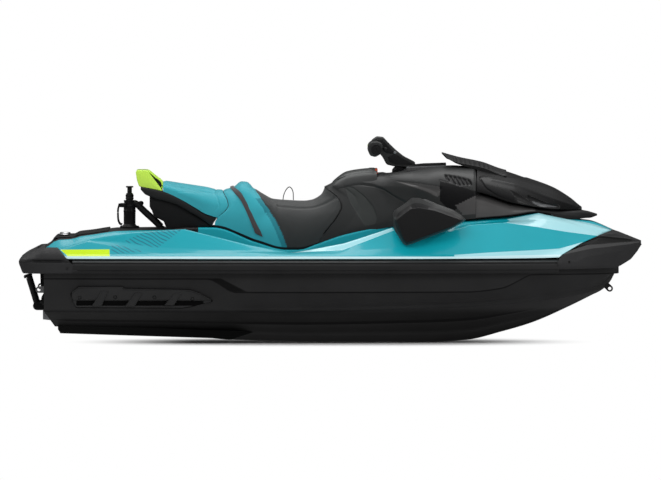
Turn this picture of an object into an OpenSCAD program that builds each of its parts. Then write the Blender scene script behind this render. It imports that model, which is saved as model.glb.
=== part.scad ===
// Three-seat personal watercraft for tow sports: a V-bottomed hull with a moulded deck, a jet pump,
// a two-piece seat, a hinged front cover, a retractable tow pylon and a folding boarding step.
// Every module is drawn with x forward from the stern bumper, y to port and z up from the lowest
// point of the keel. afloat() then moves the origin to midships on the waterline.

/* [Overall] */
// Length over the bumpers
length = 3450; // [2870:5:4140]
// Beam over the rub rails
beam = 1250; // [1040:5:1500]
// Depth of the keel below the waterline
draft = 240; // [200:5:290]

/* [Rails and bumpers] */
// How far the rub rail stands out from the hull's flange
rail_depth = 40; // [30:1:50]
// Underside of the rub rail above the keel
rail_bottom = 391; // [380:1:400]
// Plane where hull and deck are bonded
seam_z = 466; // [460:1:475]

/* [Footwells] */
// Thickness of the deck moulding in the footwells
floor_wall = 10; // [6:1:14]
// Thickness of the traction mats
mat_wall = 6; // [4:1:8]

/* [Jet pump] */
// Radius of the pump's bore
pump_bore_r = 80; // [70:1:88]
// Wall of the pump's housing
pump_wall = 12; // [8:1:16]
// Height of the pump's axis above the keel
pump_z = 175; // [168:1:182]
// Running gap between the impeller's blades and the bore
impeller_gap = 6; // [5:1:8]
// Radius of the drive shaft
shaft_r = 14; // [11:1:17]
// Radius of the pins that carry the trim ring, the nozzle and the reverse gate
pin_r = 6; // [5:0.5:7]

/* [Tow pylon] */
// Radius of the sliding post
post_r = 20; // [17:0.5:24]
// How far the post rises
post_travel = 230; // [190:5:240]

/* [Boarding step] */
// Radius of the step's tube
step_tube_r = 11; // [9:0.5:13]
// Length of the step's side arms
step_arm = 165; // [140:5:170]
// Half of the distance between the side arms
step_half = 152; // [148:1:180]

/* [Steering] */
// Radius of the handlebar's tube
bar_r = 11; // [10:0.5:13]
// Half of the handlebar's width
bar_half = 390; // [320:5:420]
// Radius of the steering column
column_r = 20; // [16:0.5:24]

/* [Storage] */
// Wall of the front storage bin
bin_wall = 8; // [5:1:12]
// Wall of the front cover
cover_wall = 24; // [18:1:28]

/* [Towing and cargo] */
// Radius of the holes in the bow and stern eyes
eye_bore_r = 9; // [7:0.5:10]
// Thickness of the eyes
eye_wall = 14; // [10:1:18]
// Radius of the sockets in the cargo anchors
anchor_bore_r = 14; // [12:0.5:17]

/* [Hidden] */
$fn = 48;

// Curves below are drawn for these two sizes and stretched to the ones set above.
drawn_length = 3450;
drawn_beam = 1250;
stretch = length / drawn_length;
widen = beam / drawn_beam;
fit = 0.3;        // gap between seated pieces
pin_fit = 0.3;    // radial gap at pins
clear = 6;        // gap around moving pieces

// ---- curves -------------------------------------------------------------------------------
// Smooth curve through [x, value] knots that never overshoots them.
function knot(c, x, i = 0) = i >= len(c) - 2 || x < c[i + 1][0] ? i : knot(c, x, i + 1);
function secant(c, i) = (c[i + 1][1] - c[i][1]) / (c[i + 1][0] - c[i][0]);
function tangent(c, i) =
    i == 0 ? secant(c, 0)
    : i == len(c) - 1 ? secant(c, i - 1)
    : let (a = secant(c, i - 1), b = secant(c, i)) a * b <= 0 ? 0 : 2 * a * b / (a + b);
function at(c, x) =
    let (
        i = knot(c, x),
        h = c[i + 1][0] - c[i][0],
        t = min(1, max(0, (x - c[i][0]) / h))
    )
    c[i][1] * (1 + 2 * t) * (1 - t) ^ 2 + h * tangent(c, i) * t * (1 - t) ^ 2
    + c[i + 1][1] * t ^ 2 * (3 - 2 * t) + h * tangent(c, i + 1) * t ^ 2 * (t - 1);
function mix(a, b, t) = a + (b - a) * t;
function place(x, y, z) = [x * stretch, y * widen, z];
// Dome across a section: 1 on the centre line, 0 at v = -1 and 1.
function dome(v, p, q) = (max(0, 1 - abs(v) ^ p)) ^ (1 / q);
// Values from half a row, mirrored so that they run from starboard to port.
function both_sides(half) = concat(-1 * half, [for (i = [len(half) - 1:-1:0]) half[i]]);
function both_same(half) = concat(half, [for (i = [len(half) - 1:-1:0]) half[i]]);

// Solid between two grids of points, each [station][row], the first one above the second. The
// diagonals of one half mirror those of the other.
function quad(a, b, c, d, flip) = flip ? [[a, b, d], [b, c, d]] : [[a, b, c], [a, c, d]];
module slab(top, bottom) {
    m = len(top);
    n = len(top[0]);
    under = m * n;
    faces = concat(
        [for (i = [0:m - 2]) for (j = [0:n - 2]) let (a = i * n + j)
            each quad(a, a + 1, a + n + 1, a + n, j >= n / 2)],
        [for (i = [0:m - 2]) for (j = [0:n - 2]) let (a = under + i * n + j)
            each quad(a + 1, a, a + n, a + n + 1, j < n / 2)],
        [for (i = [0:m - 2]) for (side = [0, n - 1]) let (a = i * n + side, b = under + a)
            each (side == 0 ? quad(a, a + n, b + n, b, false) : quad(a + n, a, b, b + n, true))],
        [for (j = [0:n - 2]) for (end = [0, m - 1]) let (a = end * n + j, b = under + a)
            each (end == 0
                ? quad(a, b, b + 1, a + 1, j >= n / 2)
                : quad(b, a, a + 1, b + 1, j >= n / 2))]);
    polyhedron(points = concat([for (r = top) each r], [for (r = bottom) each r]), faces = faces);
}

// Solid through closed rings of points, capped at both ends. Rings turn clockwise seen from the
// last ring's side.
module skin(rings) {
    m = len(rings);
    n = len(rings[0]);
    faces = concat(
        [for (i = [0:m - 2]) for (j = [0:n - 1])
            let (a = i * n + j, b = i * n + (j + 1) % n)
            each [[a, b, b + n], [a, b + n, a + n]]],
        [[for (j = [n - 1:-1:0]) j]],
        [[for (j = [0:n - 1]) (m - 1) * n + j]]);
    polyhedron(points = [for (r = rings) each r], faces = faces);
}

// Plate with a side-view outline, standing across the centre line.
module side_plate(outline, from_y, to_y) {
    translate([0, to_y, 0])
        rotate([90, 0, 0]) linear_extrude(height = to_y - from_y) polygon(outline);
}
module along_x(r, from_x, to_x) {
    translate([from_x, 0, 0]) rotate([0, 90, 0]) cylinder(r = r, h = to_x - from_x);
}
module along_y(r, from_y, to_y) {
    translate([0, to_y, 0]) rotate([90, 0, 0]) cylinder(r = r, h = to_y - from_y);
}
module mirrored() {
    children();
    mirror([0, 1, 0]) children();
}

// ---- plan of the gunwale ------------------------------------------------------------------
stern_corner = 150;
widest_x = 1400;
stern_plan = [[0, 560], [stern_corner, 575], [800, 612], [widest_x, 625]];
corner_inset = 110;
function stern_y(x) =
    at(stern_plan, x)
    - (x < stern_corner ? corner_inset * (1 - sqrt(1 - ((stern_corner - x) / stern_corner) ^ 2)) : 0);
function bow_y(x) =
    drawn_beam / 2 * (1 - ((x - widest_x) / (drawn_length - widest_x)) ^ 2.6) ^ (1 / 1.6);
function rail_y(x) = x < widest_x ? stern_y(x) : bow_y(x);
edge_share = 0.98;
function edge_y(x) = rail_y(x) * edge_share;

// ---- hull ---------------------------------------------------------------------------------
transom_x = 141;
hull_bow_x = 3320;
keel = [
    [141, 52], [655, 37], [1066, 17], [1700, 0], [2270, 0], [2480, 12], [2685, 61], [2847, 110],
    [3052, 200], [3175, 261], [3232, 290], [3280, 340], [3310, 400], [3320, 418]];
chine_height = [[141, 183], [1500, 183], [2275, 203], [2685, 224], [3215, 296], [3320, 440]];
chine_breadth = [
    [141, 500], [600, 520], [1400, 525], [2000, 500], [2400, 440], [2700, 355], [2950, 240],
    [3150, 115], [3232, 60], [3320, 14]];
stem_breadth = [[2700, 462], [2950, 362], [3100, 275], [3200, 190], [3280, 95], [3320, 26]];
knuckle_height = [[141, 358], [1050, 358], [1200, 291], [2480, 292], [2660, 310], [2880, 400], [3320, 445]];
flat_chine = 12;
function top_y(x) = min(rail_y(x) - rail_depth - fit, x < 2700 ? 1000 : at(stem_breadth, x));
function knuckle_z(x) = min(rail_bottom - 5, at(knuckle_height, x));
function chine_y(x) = min(at(chine_breadth, x), top_y(x) - 8);
function chine_z(x) = max(at(chine_height, x), at(keel, x) + 6);
// The bottom's V, with a small spray strake part of the way out.
function vee_z(x, y) = mix(at(keel, x), chine_z(x) - 5, abs(y) / chine_y(x));

// ---- footwells ----------------------------------------------------------------------------
foot_start = 905;
foot_end = 2270;
foot_slope = 42;       // length of the slope at each end of a footwell
trough_gap = 6;        // room around the footwells in the hull
foot_stations = [
    905, 1000, 1050, 1110, 1160, 1220, 1315, 1400, 1480, 1550, 1648, 1750, 1850, 1950, 2050, 2160, 2270];
aft_stations = [180, 222, 300, 403, 500, 550, 640, 760];
fore_stations = [2400, 2500, 2600, 2680, 2760, 2855, 2925];
foot_inner = 225;
foot_outer = 440;
floor_curve = [[905, 395], [1500, 368], [2000, 380], [2270, 410]];
function in_footwell(x) = x >= foot_start && x <= foot_end;
function in_trough(x) =
    x >= foot_start - foot_slope - trough_gap && x <= foot_end + foot_slope + trough_gap;
function crest_y(x) = at(crest_share, x) * edge_y(x);
function foot_out(x) = min(foot_outer, 0.84 * crest_y(x));
function foot_in(x) = min(foot_inner, 0.45 * crest_y(x));

// Half breadths and heights of the hull's outer surface, from the flange in to the keel.
function hull_half_y(x) = let (t = top_y(x), c = chine_y(x)) [
    t, t - 2, t - 5, c, max(c - flat_chine, 0.975 * c),
    min(foot_out(x) + 38, 0.955 * c), min(foot_out(x) + 9, 0.9 * c),
    0.62 * c, 0.58 * c,
    min(foot_in(x) - 9, 0.46 * c), min(foot_in(x) - 24, 0.42 * c),
    0.3 * c, 0.26 * c, 0.5];
function hull_half_z(x) =
    let (y = hull_half_y(x), s = min(8, 0.02 * chine_y(x))) [
    rail_bottom, knuckle_z(x), knuckle_z(x) - 4, chine_z(x), vee_z(x, y[4]),
    vee_z(x, y[5]), vee_z(x, y[6]), vee_z(x, y[7]) - s, vee_z(x, y[8]),
    vee_z(x, y[9]), vee_z(x, y[10]), vee_z(x, y[11]) - s, vee_z(x, y[12]), at(keel, x)];
// Height of the hull's upper face: the seam, let down under the footwells.
function hull_half_top(x) = let (f = in_trough(x) ? at(floor_curve, x) - floor_wall - 4 : seam_z) [
    for (j = [0:13]) j >= 6 && j <= 9 ? f : seam_z];
trough_back = foot_start - foot_slope - trough_gap;
trough_front = foot_end + foot_slope + trough_gap;
hull_stations = concat(
    [transom_x], aft_stations, [trough_back - 6, trough_back], foot_stations,
    [trough_front, trough_front + 6], fore_stations,
    [2995, 3052, 3115, 3175, 3232, 3280, 3320]);
hull_edge_table = [for (x = hull_stations) [x, top_y(x)]];
// Half breadth of the hull's flange at x, as built between its stations.
function hull_edge(x) = lookup(x, hull_edge_table);

tunnel_half = 150;
tunnel_length = 620;
tunnel_roof = 350;
transom = transom_x * stretch;
tunnel_front = transom + tunnel_length;
intake_length = 430;
intake_half = 95;
intake_lip_z = 75;
engine_bay_x = tunnel_front + intake_length + 60;
engine_size = [600, 330, 295];
engine_bay_floor = 145;
bay_gap = 25;

module hull_shell() {
    slab(
        [for (x = hull_stations) let (y = both_sides(hull_half_y(x)), z = both_same(hull_half_top(x)))
            [for (j = [0:27]) place(x, y[j], z[j])]],
        [for (x = hull_stations) let (y = both_sides(hull_half_y(x)), z = both_same(hull_half_z(x)))
            [for (j = [0:27]) place(x, y[j], z[j])]]);
}

module pump_tunnel() {
    translate([transom - 60, -tunnel_half, -20])
        cube([tunnel_length + 60, 2 * tunnel_half, tunnel_roof + 20]);
}

module intake_duct() {
    hull() {
        translate([tunnel_front - 2, 0, pump_z]) rotate([0, 90, 0]) cylinder(r = pump_bore_r, h = 2, $fn = 32);
        translate([tunnel_front + 20, -intake_half, -30])
            cube([intake_length - 20, 2 * intake_half, 30 + intake_lip_z]);
    }
}

module engine_bay() {
    translate([engine_bay_x, -engine_size[1] / 2 - bay_gap, engine_bay_floor])
        cube([engine_size[0] + 2 * bay_gap, engine_size[1] + 2 * bay_gap, seam_z]);
}

// Below the chine the stern rakes forward to the keel.
rake_head_z = 183;
rake_length = 90;
rake_drop = 149;
module stern_rake() {
    side_plate([
        [transom - 60, rake_head_z], [transom, rake_head_z], [transom + rake_length, rake_head_z - rake_drop],
        [transom + rake_length, -20], [transom - 60, -20]], -beam, beam);
}

module hull_body() {
    color("#2c2c2e") difference() {
        hull_shell();
        stern_rake();
        pump_tunnel();
        intake_duct();
        engine_bay();
        translate([0, 0, pump_z]) along_x(shaft_r + clear, tunnel_front, engine_bay_x + 1);
    }
}

// ---- deck ---------------------------------------------------------------------------------
crest_share = [[141, 0.9], [932, 0.85], [1520, 0.88], [2000, 0.82], [2500, 0.7], [2855, 0.6], [3449, 0.5]];
edge_height = [[141, 480], [2995, 482], [3200, 515], [3380, 548], [3449, 555]];
ledge_height = [[141, 492], [1400, 490], [2400, 494], [2995, 512], [3200, 545], [3449, 558]];
crease_height = [
    [141, 503], [222, 515], [520, 556], [932, 560], [1250, 520], [1520, 500], [1800, 520],
    [2100, 560], [2400, 610], [2680, 668], [2855, 655], [3000, 627], [3202, 595], [3449, 560]];
crest_height = [
    [141, 508], [222, 530], [403, 584], [700, 622], [932, 639], [1110, 588], [1300, 545],
    [1520, 507], [1700, 540], [2000, 620], [2250, 655], [2500, 676], [2680, 692], [2855, 722],
    [2970, 698], [3158, 655], [3289, 615], [3449, 562]];
platform_height = [
    [141, 535], [180, 562], [212, 588], [222, 590], [300, 590], [330, 603], [403, 612], [500, 627], [550, 632],
    [863, 632], [905, 640], [1075, 640]];
// Top of the deck's middle, which carries the seat, the console and the nose fairing.
spine_height = [
    [830, 640], [1075, 640], [1315, 558], [1480, 517], [1550, 517], [1648, 548], [1800, 600],
    [2050, 650], [2300, 668], [2480, 688], [2680, 702], [2855, 716], [2970, 694], [3158, 678],
    [3289, 629], [3449, 563]];
function middle_z(x) = x < 1075 ? at(platform_height, x) : at(spine_height, x);
function lip_z(x) =
    x < foot_start ? mix(at(crest_height, x), middle_z(x), 0.8)
    : x <= foot_end ? at(crest_height, x) - 12
    : mix(at(crest_height, x), middle_z(x), 0.35);
function foot_level(x) = in_footwell(x) ? at(floor_curve, x) : middle_z(x) - 3;
function deck_half_y(x) = let (e = edge_y(x), c = crest_y(x)) [
    e, e - 0.09 * e, mix(e * 0.91, c, 0.45), c,
    min(foot_out(x) + 30, 0.92 * c), foot_out(x), foot_in(x), foot_in(x) - 0.07 * foot_in(x),
    0.2 * c, 0.5];
function deck_half_z(x) = [
    at(edge_height, x), at(ledge_height, x), at(crease_height, x), at(crest_height, x),
    lip_z(x), foot_level(x), foot_level(x), middle_z(x) - 1, middle_z(x), middle_z(x)];
// The underside follows the seam and hangs into the hull under the footwells.
function deck_under_y(x) = let (y = deck_half_y(x), o = in_footwell(x) ? 1 : 0) [
    y[0], y[1], y[2], y[3], y[4] + 4 * o, y[5] + 6 * o, y[6] - 6 * o, y[7] - 4 * o, y[8], y[9]];
function deck_under_z(x) = let (f = in_footwell(x) ? at(floor_curve, x) - floor_wall : seam_z) [
    for (j = [0:9]) j == 5 || j == 6 ? f : seam_z];
deck_back_x = 144;
deck_stations = concat(
    [deck_back_x], aft_stations, [foot_start - foot_slope], foot_stations, [foot_end + foot_slope],
    fore_stations, [2995]);
spine_table = [for (x = deck_stations) [x, middle_z(x)]];
// Height of the deck along its centre line, as built between its stations.
function spine(x) = lookup(x, spine_table);
floor_table = [for (x = foot_stations) [x, at(floor_curve, x)]];
bow_border_x = 2995;
bow_bulge_x = 2600;
bow_bulge = 295;
tip_x = 3449;
// Stations near the bow bulge forward on the centre line, so that the deck ends on a curve.
function bulge(x, s) =
    x <= bow_bulge_x ? x
    : x + bow_bulge * (1 - s ^ 2)
        * (x <= bow_border_x ? (x - bow_bulge_x) / (bow_border_x - bow_bulge_x) : (tip_x - x) / (tip_x - bow_border_x));
function deck_row(x, j) = let (
    s = deck_half_y(x)[j] / edge_y(x), bx = bulge(x, s)) [bx, s * edge_y(bx), deck_half_z(bx)[j]];
function deck_under_row(x, j) = let (
    s = deck_half_y(x)[j] / edge_y(x), bx = bulge(x, s))
    [bx, s * edge_y(bx) + deck_under_y(x)[j] - deck_half_y(x)[j], deck_under_z(x)[j]];
function deck_grid(stations, rows) = [for (x = stations) concat(
    [for (j = rows) let (p = deck_row(x, j)) place(p[0], -p[1], p[2])],
    [for (i = [len(rows) - 1:-1:0]) let (p = deck_row(x, rows[i])) place(p[0], p[1], p[2])])];
function deck_under_grid(stations, rows) = [for (x = stations) concat(
    [for (j = rows) let (p = deck_under_row(x, j)) place(p[0], -p[1], p[2])],
    [for (i = [len(rows) - 1:-1:0]) let (p = deck_under_row(x, rows[i])) place(p[0], p[1], p[2])])];
all_rows = [0, 1, 2, 3, 4, 5, 6, 7, 8, 9];

bin_x = [2560 * stretch, 2560 * stretch + 390];
bin_half = 180;
bin_floor = 480;

module bin_pocket(gap) {
    translate([bin_x[0] - gap, -bin_half - gap, bin_floor - gap])
        cube([bin_x[1] - bin_x[0] + 2 * gap, 2 * (bin_half + gap), 600]);
}

module deck_body() {
    color("#1fa3b5") difference() {
        slab(deck_grid(deck_stations, all_rows), deck_under_grid(deck_stations, all_rows));
        bin_pocket(fit);
        translate([post_x, 0, post_bottom - clear]) cylinder(r = post_r + clear, h = 400);
    }
}

// ---- bumpers and rails --------------------------------------------------------------------
bumper_under = [
    [2990, 411], [3310, 416], [3343, 433], [3391, 461], [3430, 507], [3449, 540]];
bow_stations = [2997, 3040, 3090, 3140, 3190, 3240, 3290, 3335, 3375, 3410, 3435, 3449];

stem_stations = [2925, 2995, 3052, 3115, 3175, 3232, 3280, 3320];
module stem_plug() {
    linear_extrude(height = seam_z + fit)
        polygon(concat(
            [for (x = stem_stations) [(x + 1) * stretch, -(hull_edge(x) + fit) * widen]],
            [for (i = [len(stem_stations) - 1:-1:0]) let (x = stem_stations[i])
                [(x + 1) * stretch, (hull_edge(x) + fit) * widen]]));
}

module bow_bumper_body() {
    // The bumper's outer edge comes before the deck's own rows.
    function top_half(x) = concat(
        [let (bx = bulge(x, 0.999)) [bx, rail_y(bx), max(at(bumper_under, bx) + 12, at(edge_height, bx) - 18)]],
        [for (j = all_rows) deck_row(x, j)]);
    function under_half(x) = [for (p = top_half(x)) [p[0], p[1], at(bumper_under, p[0])]];
    function full(half) = concat(
        [for (p = half) place(p[0], -p[1], p[2])],
        [for (i = [len(half) - 1:-1:0]) place(half[i][0], half[i][1], half[i][2])]);
    color("#2a2a2c") difference() {
        slab([for (x = bow_stations) full(top_half(x))], [for (x = bow_stations) full(under_half(x))]);
        stem_plug();
    }
}

// Side rails: a band outside the flange, under the deck's edge.
rail_back_x = 321;
rail_front_x = 2989;
rail_stations = concat(
    [rail_back_x], [for (x = hull_stations) if (x > rail_back_x + 20 && x < rail_front_x - 20) x],
    [rail_front_x]);
module rub_rail_body() {
    color("#232325") skin([for (x = rail_stations) let (r = rail_y(x), in = hull_edge(x) + fit) [
        place(x, -in, rail_bottom),
        place(x, -(r - 8), rail_bottom),
        place(x, -r, rail_bottom + 12),
        place(x, -r, seam_z - 16),
        place(x, -(r - 8), seam_z - fit),
        place(x, -in, seam_z - fit)]]);
}

// The stern bumper is one band swept round the stern: wings beside the hull, a shelf behind it.
bumper_top = [[0, 478], [14, 487], [60, 516], [117, 540], [217, 538], [289, 470], [321, 452]];
bumper_back_x = transom_x - 0.4;
module stern_bumper_body() {
    wings = [for (x = [320, 300, 260, 222, 180, 160, deck_back_x - 1])
        [[x, rail_y(x)], [x, hull_edge(x) + fit]]];
    corner = [for (a = [75:-15:0]) let (x = stern_corner * (1 - cos(a)))
        [[x, stern_y(x)], [bumper_back_x, hull_edge(transom_x) + fit - 1.1 * (75 - a)]]];
    shelf = [for (y = [340, 200, 70]) [[0, y], [bumper_back_x, y]]];
    half = concat(wings, corner, shelf);
    path = concat(
        [for (p = half) [[p[0][0], -p[0][1]], [p[1][0], -p[1][1]]]],
        [for (i = [len(half) - 1:-1:0]) half[i]]);
    function lid(x) = at(bumper_top, x);
    color("#2a2a2c") skin([for (p = path) let (o = p[0], i = p[1], top_o = min(lid(o[0]), 540)) [
        place(i[0], i[1], rail_bottom),
        place(i[0], i[1], i[0] < transom_x ? 534 : min(seam_z - fit, lid(o[0]))),
        place(mix(o[0], i[0], 0.35), mix(o[1], i[1], 0.35), i[0] < transom_x ? mix(top_o, 545, 0.7) : min(seam_z - fit, lid(o[0]))),
        place(o[0], o[1], i[0] < transom_x ? top_o - 4 : min(seam_z - fit, lid(o[0])) - 6),
        place(o[0], o[1], rail_bottom + 8),
        place(mix(o[0], i[0], 0.1), mix(o[1], i[1], 0.1), rail_bottom)]]);
}

// ---- sponsons, mats, anchors ---------------------------------------------------------------
sponson_top = [[300, 292], [330, 322], [360, 327], [860, 318], [980, 298], [1066, 262]];
sponson_under = [[300, 262], [310, 214], [360, 192], [800, 190], [950, 205], [1066, 252]];
sponson_depth = 24;
sponson_gap = 0.7;
function flank_y(x, z) = mix(chine_y(x), top_y(x) - 5, (z - chine_z(x)) / (knuckle_z(x) - 4 - chine_z(x)));
module sponson_body() {
    color("#1c1c1e") skin([for (x = [300, 340, 403, 500, 550, 640, 760, trough_back, 905, 1000, 1050])
        let (a = at(sponson_under, x), b = at(sponson_top, x)) [
        place(x, -(flank_y(x, a) + sponson_gap), a),
        place(x, -(flank_y(x, a) + sponson_depth), a + 4),
        place(x, -(flank_y(x, b) + sponson_depth), b - 4),
        place(x, -(flank_y(x, b) + sponson_gap), b)]]);
}

anchor_x = 250;
anchor_y = 205;
anchor_r = 30;
anchor_height = 16;
function platform_top(x) = spine(x) + mat_wall + fit;
anchor_z = at(platform_height, anchor_x) + fit;
module raise_points(dz) { translate([0, 0, dz]) children(); }
function lifted(grid, dz) = [for (r = grid) [for (p = r) p + [0, 0, dz]]];
mat_stations = [180, 222, 300, 403, 500];
module platform_mat_body() {
    rows = [5, 6, 7, 8, 9];
    color("#161617") difference() {
        slab(
            lifted(deck_grid(mat_stations, rows), mat_wall + fit),
            lifted(deck_grid(mat_stations, rows), fit));
        mirrored() translate([anchor_x * stretch, anchor_y, 500]) cylinder(r = anchor_r + 3, h = 200);
    }
}

module footwell_mats_body() {
    xs = concat([925], [for (x = foot_stations) if (x > 950 && x < 2200) x], [2240]);
    function row(x, t, dz) = place(x,
        mix(lookup(x, [for (k = foot_stations) [k, foot_in(k)]]), lookup(x, [for (k = foot_stations) [k, foot_out(k)]]), t),
        lookup(x, floor_table) + fit + dz);
    module one() {
        slab(
            [for (x = xs) [for (t = [0.04, 0.5, 0.96]) row(x, t, mat_wall)]],
            [for (x = xs) [for (t = [0.04, 0.5, 0.96]) row(x, t, 0)]]);
    }
    color("#161617") {
        one();
        mirror([0, 1, 0]) one();
    }
}

module cargo_anchors_body() {
    color("#3a3a3c") mirrored() translate([anchor_x * stretch, anchor_y, anchor_z])
        difference() {
            cylinder(r = anchor_r, h = anchor_height);
            translate([0, 0, 4]) cylinder(r = anchor_bore_r, h = anchor_height);
        }
}

// ---- seats --------------------------------------------------------------------------------
// Side-view borders, each a curve of x over height.
seat_rear_border = [[640, 1078], [691, 1108], [760, 1160], [782, 1157], [850, 1130]];
seat_front_border = [[540, 1640], [620, 1700], [700, 1762], [755, 1787], [800, 1773], [866, 1690]];
seat_gap = 4;
driver_top = [
    [1130, 842], [1174, 852], [1195, 860], [1238, 888], [1273, 886], [1356, 791], [1407, 786],
    [1508, 781], [1572, 791], [1636, 827], [1690, 865]];
driver_width = [[1080, 172], [1300, 188], [1500, 192], [1690, 186]];
skirt = 26;
section_rows = [1, 0.985, 0.95, 0.88, 0.77, 0.6, 0.35, 0.005];

// A padded top with slanted ends: rows lie across, u runs from the rear border to the front one.
function pad_point(u, v, x0, x1, low, crown, width, rear, front, p, q) =
    let (
        x = mix(x0, x1, u),
        z = low + (at(crown, x) - low) * dome(v, p, q),
        bx = mix(at(rear, z), at(front, z), u)
    ) [bx, v * at(width, x), z];

seat_foot_back = 1082;
seat_foot_front = 1640;
seat_back = 1134;
seat_front = 1688;
seat_feet = concat([seat_foot_back], [for (x = foot_stations) if (x > 1090 && x < 1620) x], [1600, seat_foot_front]);
seat_us = [for (x = seat_feet) (x - seat_foot_back) / (seat_foot_front - seat_foot_back)];
seat_crown = 3.2;
seat_round = 1.9;
module driver_seat_body() {
    vs = both_sides(section_rows);
    color("#3c3d3e") slab(
        [for (i = [0:len(seat_us) - 1]) let (u = seat_us[i]) [for (v = vs)
            let (p = pad_point(u, v, seat_back, seat_front, spine(seat_feet[i]) + fit + skirt, driver_top, driver_width,
                seat_rear_border, seat_front_border, seat_crown, seat_round))
            place(p[0], p[1], p[2])]],
        [for (i = [0:len(seat_us) - 1]) [for (v = vs)
            place(seat_feet[i], v * at(driver_width, mix(seat_back, seat_front, seat_us[i])), spine(seat_feet[i]) + fit)]]);
}
seat_line = [for (u = seat_us) let (x = mix(seat_back, seat_front, u)) [x, at(driver_top, x)]];

strap_width = 26;
strap_wall = 4;
strap_lift = 11 - 2 * widen;
// The strap lies over the seat in a slanted plane that leans back towards the top.
strap_foot_x = 1345;
strap_lean = 0.62;
module seat_strap_body() {
    vs = both_sides([0.99, 0.96, 0.9, 0.8, 0.65, 0.4, 0.005]);
    function over(x, v) = let (
        top = at(driver_top, x), low = spine(x) + fit + skirt,
        z = low + (top - low) * dome(v, seat_crown, seat_round)) [x, v * at(driver_width, x), z];
    // Each point slides forward as it goes down the seat's side.
    function lie(v, off, lift) = let (
        x0 = 1176 + off,
        x = x0 + (1 - dome(v, 3.2, 1.9)) * (strap_foot_x - 1176),
        p = over(x, v), q = over(x, v))
        place(p[0], q[1] + sign(v) * lift * (1 - dome(v, 3.2, 1.9)), q[2] + lift * max(0.35, dome(v, 3.2, 1.9)));
    color("#4c4546") slab(
        [for (o = [0, strap_width]) [for (v = vs) lie(v, o, strap_lift + strap_wall)]],
        [for (o = [0, strap_width]) [for (v = vs) lie(v, o, strap_lift)]]);
}

loop_x = 1494;
module seat_pull_loop_body() {
    // A narrow webbing loop that stands up from the middle of the driver's seat.
    w = 3;
    color("#17181a") translate([loop_x * stretch, 0, max(lookup(loop_x - 34, seat_line), lookup(loop_x + 26, seat_line)) + 4])
        side_plate([
            [-34, 0], [-28, 30], [-16, 58], [0, 76], [14, 70], [24, 46], [26, 0], [26 - w, 0], [24 - w, 45],
            [12, 66], [0, 76 - w - 1], [-14, 56], [-25, 29], [-34 + w, 0]], -9, 9);
}

rear_top = [[760, 893], [800, 891], [900, 877], [1000, 862], [1130, 842]];
rear_low = [[672, 864], [797, 838], [903, 790], [977, 747], [1031, 715], [1105, 691]];
rear_width = [[760, 150], [900, 158], [1100, 170]];
trim_low = [[672, 850], [701, 820], [866, 768], [924, 737], [1031, 672], [1062, 648]];
rear_skirt = 14;
rear_feet = [797, 830, 866, 903, 940, 977, 1010, 1040, 1066, 1090];
module passenger_seat_body() {
    us = [for (x = rear_feet) (x - rear_feet[0]) / (rear_feet[len(rear_feet) - 1] - rear_feet[0])];
    vs = both_sides(section_rows);
    front = [for (k = seat_rear_border) [k[0], k[1] - seat_gap]];
    function pt(i, v) = let (
        u = us[i], x = mix(797, 1126, u), low = at(rear_low, rear_feet[i]) + fit + rear_skirt,
        z = low + (at(rear_top, x) - low) * dome(v, seat_crown, seat_round),
        bx = mix(797, at(front, z), u)) place(bx, v * at(rear_width, x), z);
    color("#27a3b4") slab(
        [for (i = [0:len(us) - 1]) [for (v = vs) pt(i, v)]],
        [for (i = [0:len(us) - 1]) [for (v = vs)
            place(rear_feet[i], v * at(rear_width, mix(797, 1126, us[i])), at(rear_low, rear_feet[i]) + fit)]]);
}

trim_half = 158;
trim_feet = [690, 725, 760, 797, 830, 866, 903, 940, 977, 1010, 1040, 1056];
module seat_trim_body() {
    n = len(trim_feet);
    outline = concat(
        [for (x = trim_feet) [x * stretch, at(trim_low, x)]],
        [for (x = [1066, 1040, 1010, 977, 940, 903, 866, 830, 797, 760, 725, 690]) [x * stretch, at(rear_low, x)]]);
    color("#232224") side_plate(outline, -trim_half * widen, trim_half * widen);
}

support_half = 138;
module seat_support_body() {
    outline = concat(
        [for (x = trim_feet) if (x > 715) [x * stretch, at(trim_low, x) - fit]],
        [[1060 * stretch, 640 + fit], [905 * stretch, 640 + fit], [863 * stretch, 632 + fit], [822 * stretch, 632 + fit],
            [826 * stretch, 665], [786 * stretch, 712], [730 * stretch, 728]]);
    color("#171819") side_plate(outline, -support_half * widen, support_half * widen);
}

handle_half = 150;
handle_wall = 26;
module grab_handle_body() {
    bar = [[645, 946], [652, 956], [712, 956], [722, 938], [704, 900], [664, 868], [652, 900]];
    arm = [
        [652, 956], [712, 956], [722, 944], [789, 880], [795, at(rear_low, 797) + 1 + fit], [760, at(rear_low, 760) + fit],
        [725, at(rear_low, 725) + fit], [692, at(rear_low, 692) + fit], [664, 868], [652, 900], [645, 946]];
    function drawn(o) = [for (p = o) [p[0] * stretch, p[1]]];
    color("#a6d52f") union() {
        side_plate(drawn(bar), -(handle_half - 5) * widen, (handle_half - 5) * widen);
        mirrored() side_plate(drawn(arm), -handle_half * widen, -handle_half * widen + handle_wall);
    }
}

// ---- console, nose and front cover ----------------------------------------------------------
console_top = [
    [1694, 865], [1725, 880], [1760, 903], [1818, 928], [1981, 941], [2050, 946], [2150, 951], [2240, 960],
    [2347, 975], [2528, 966]];
console_width = [[1694, 186], [1900, 203], [2050, 214], [2160, 245], [2300, 330], [2528, 380]];
console_foot = 1648;
console_back = 1694;
console_front = 2528;
console_feet = concat(
    [console_foot, 1668, 1690, 1715], [for (x = foot_stations) if (x > 1740) x], [foot_end + foot_slope],
    [2400, 2500, console_front]);
console_us = [for (x = console_feet) (x - console_foot) / (console_front - console_foot)];
console_crown = 2.6;
console_round = 1.35;
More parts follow.
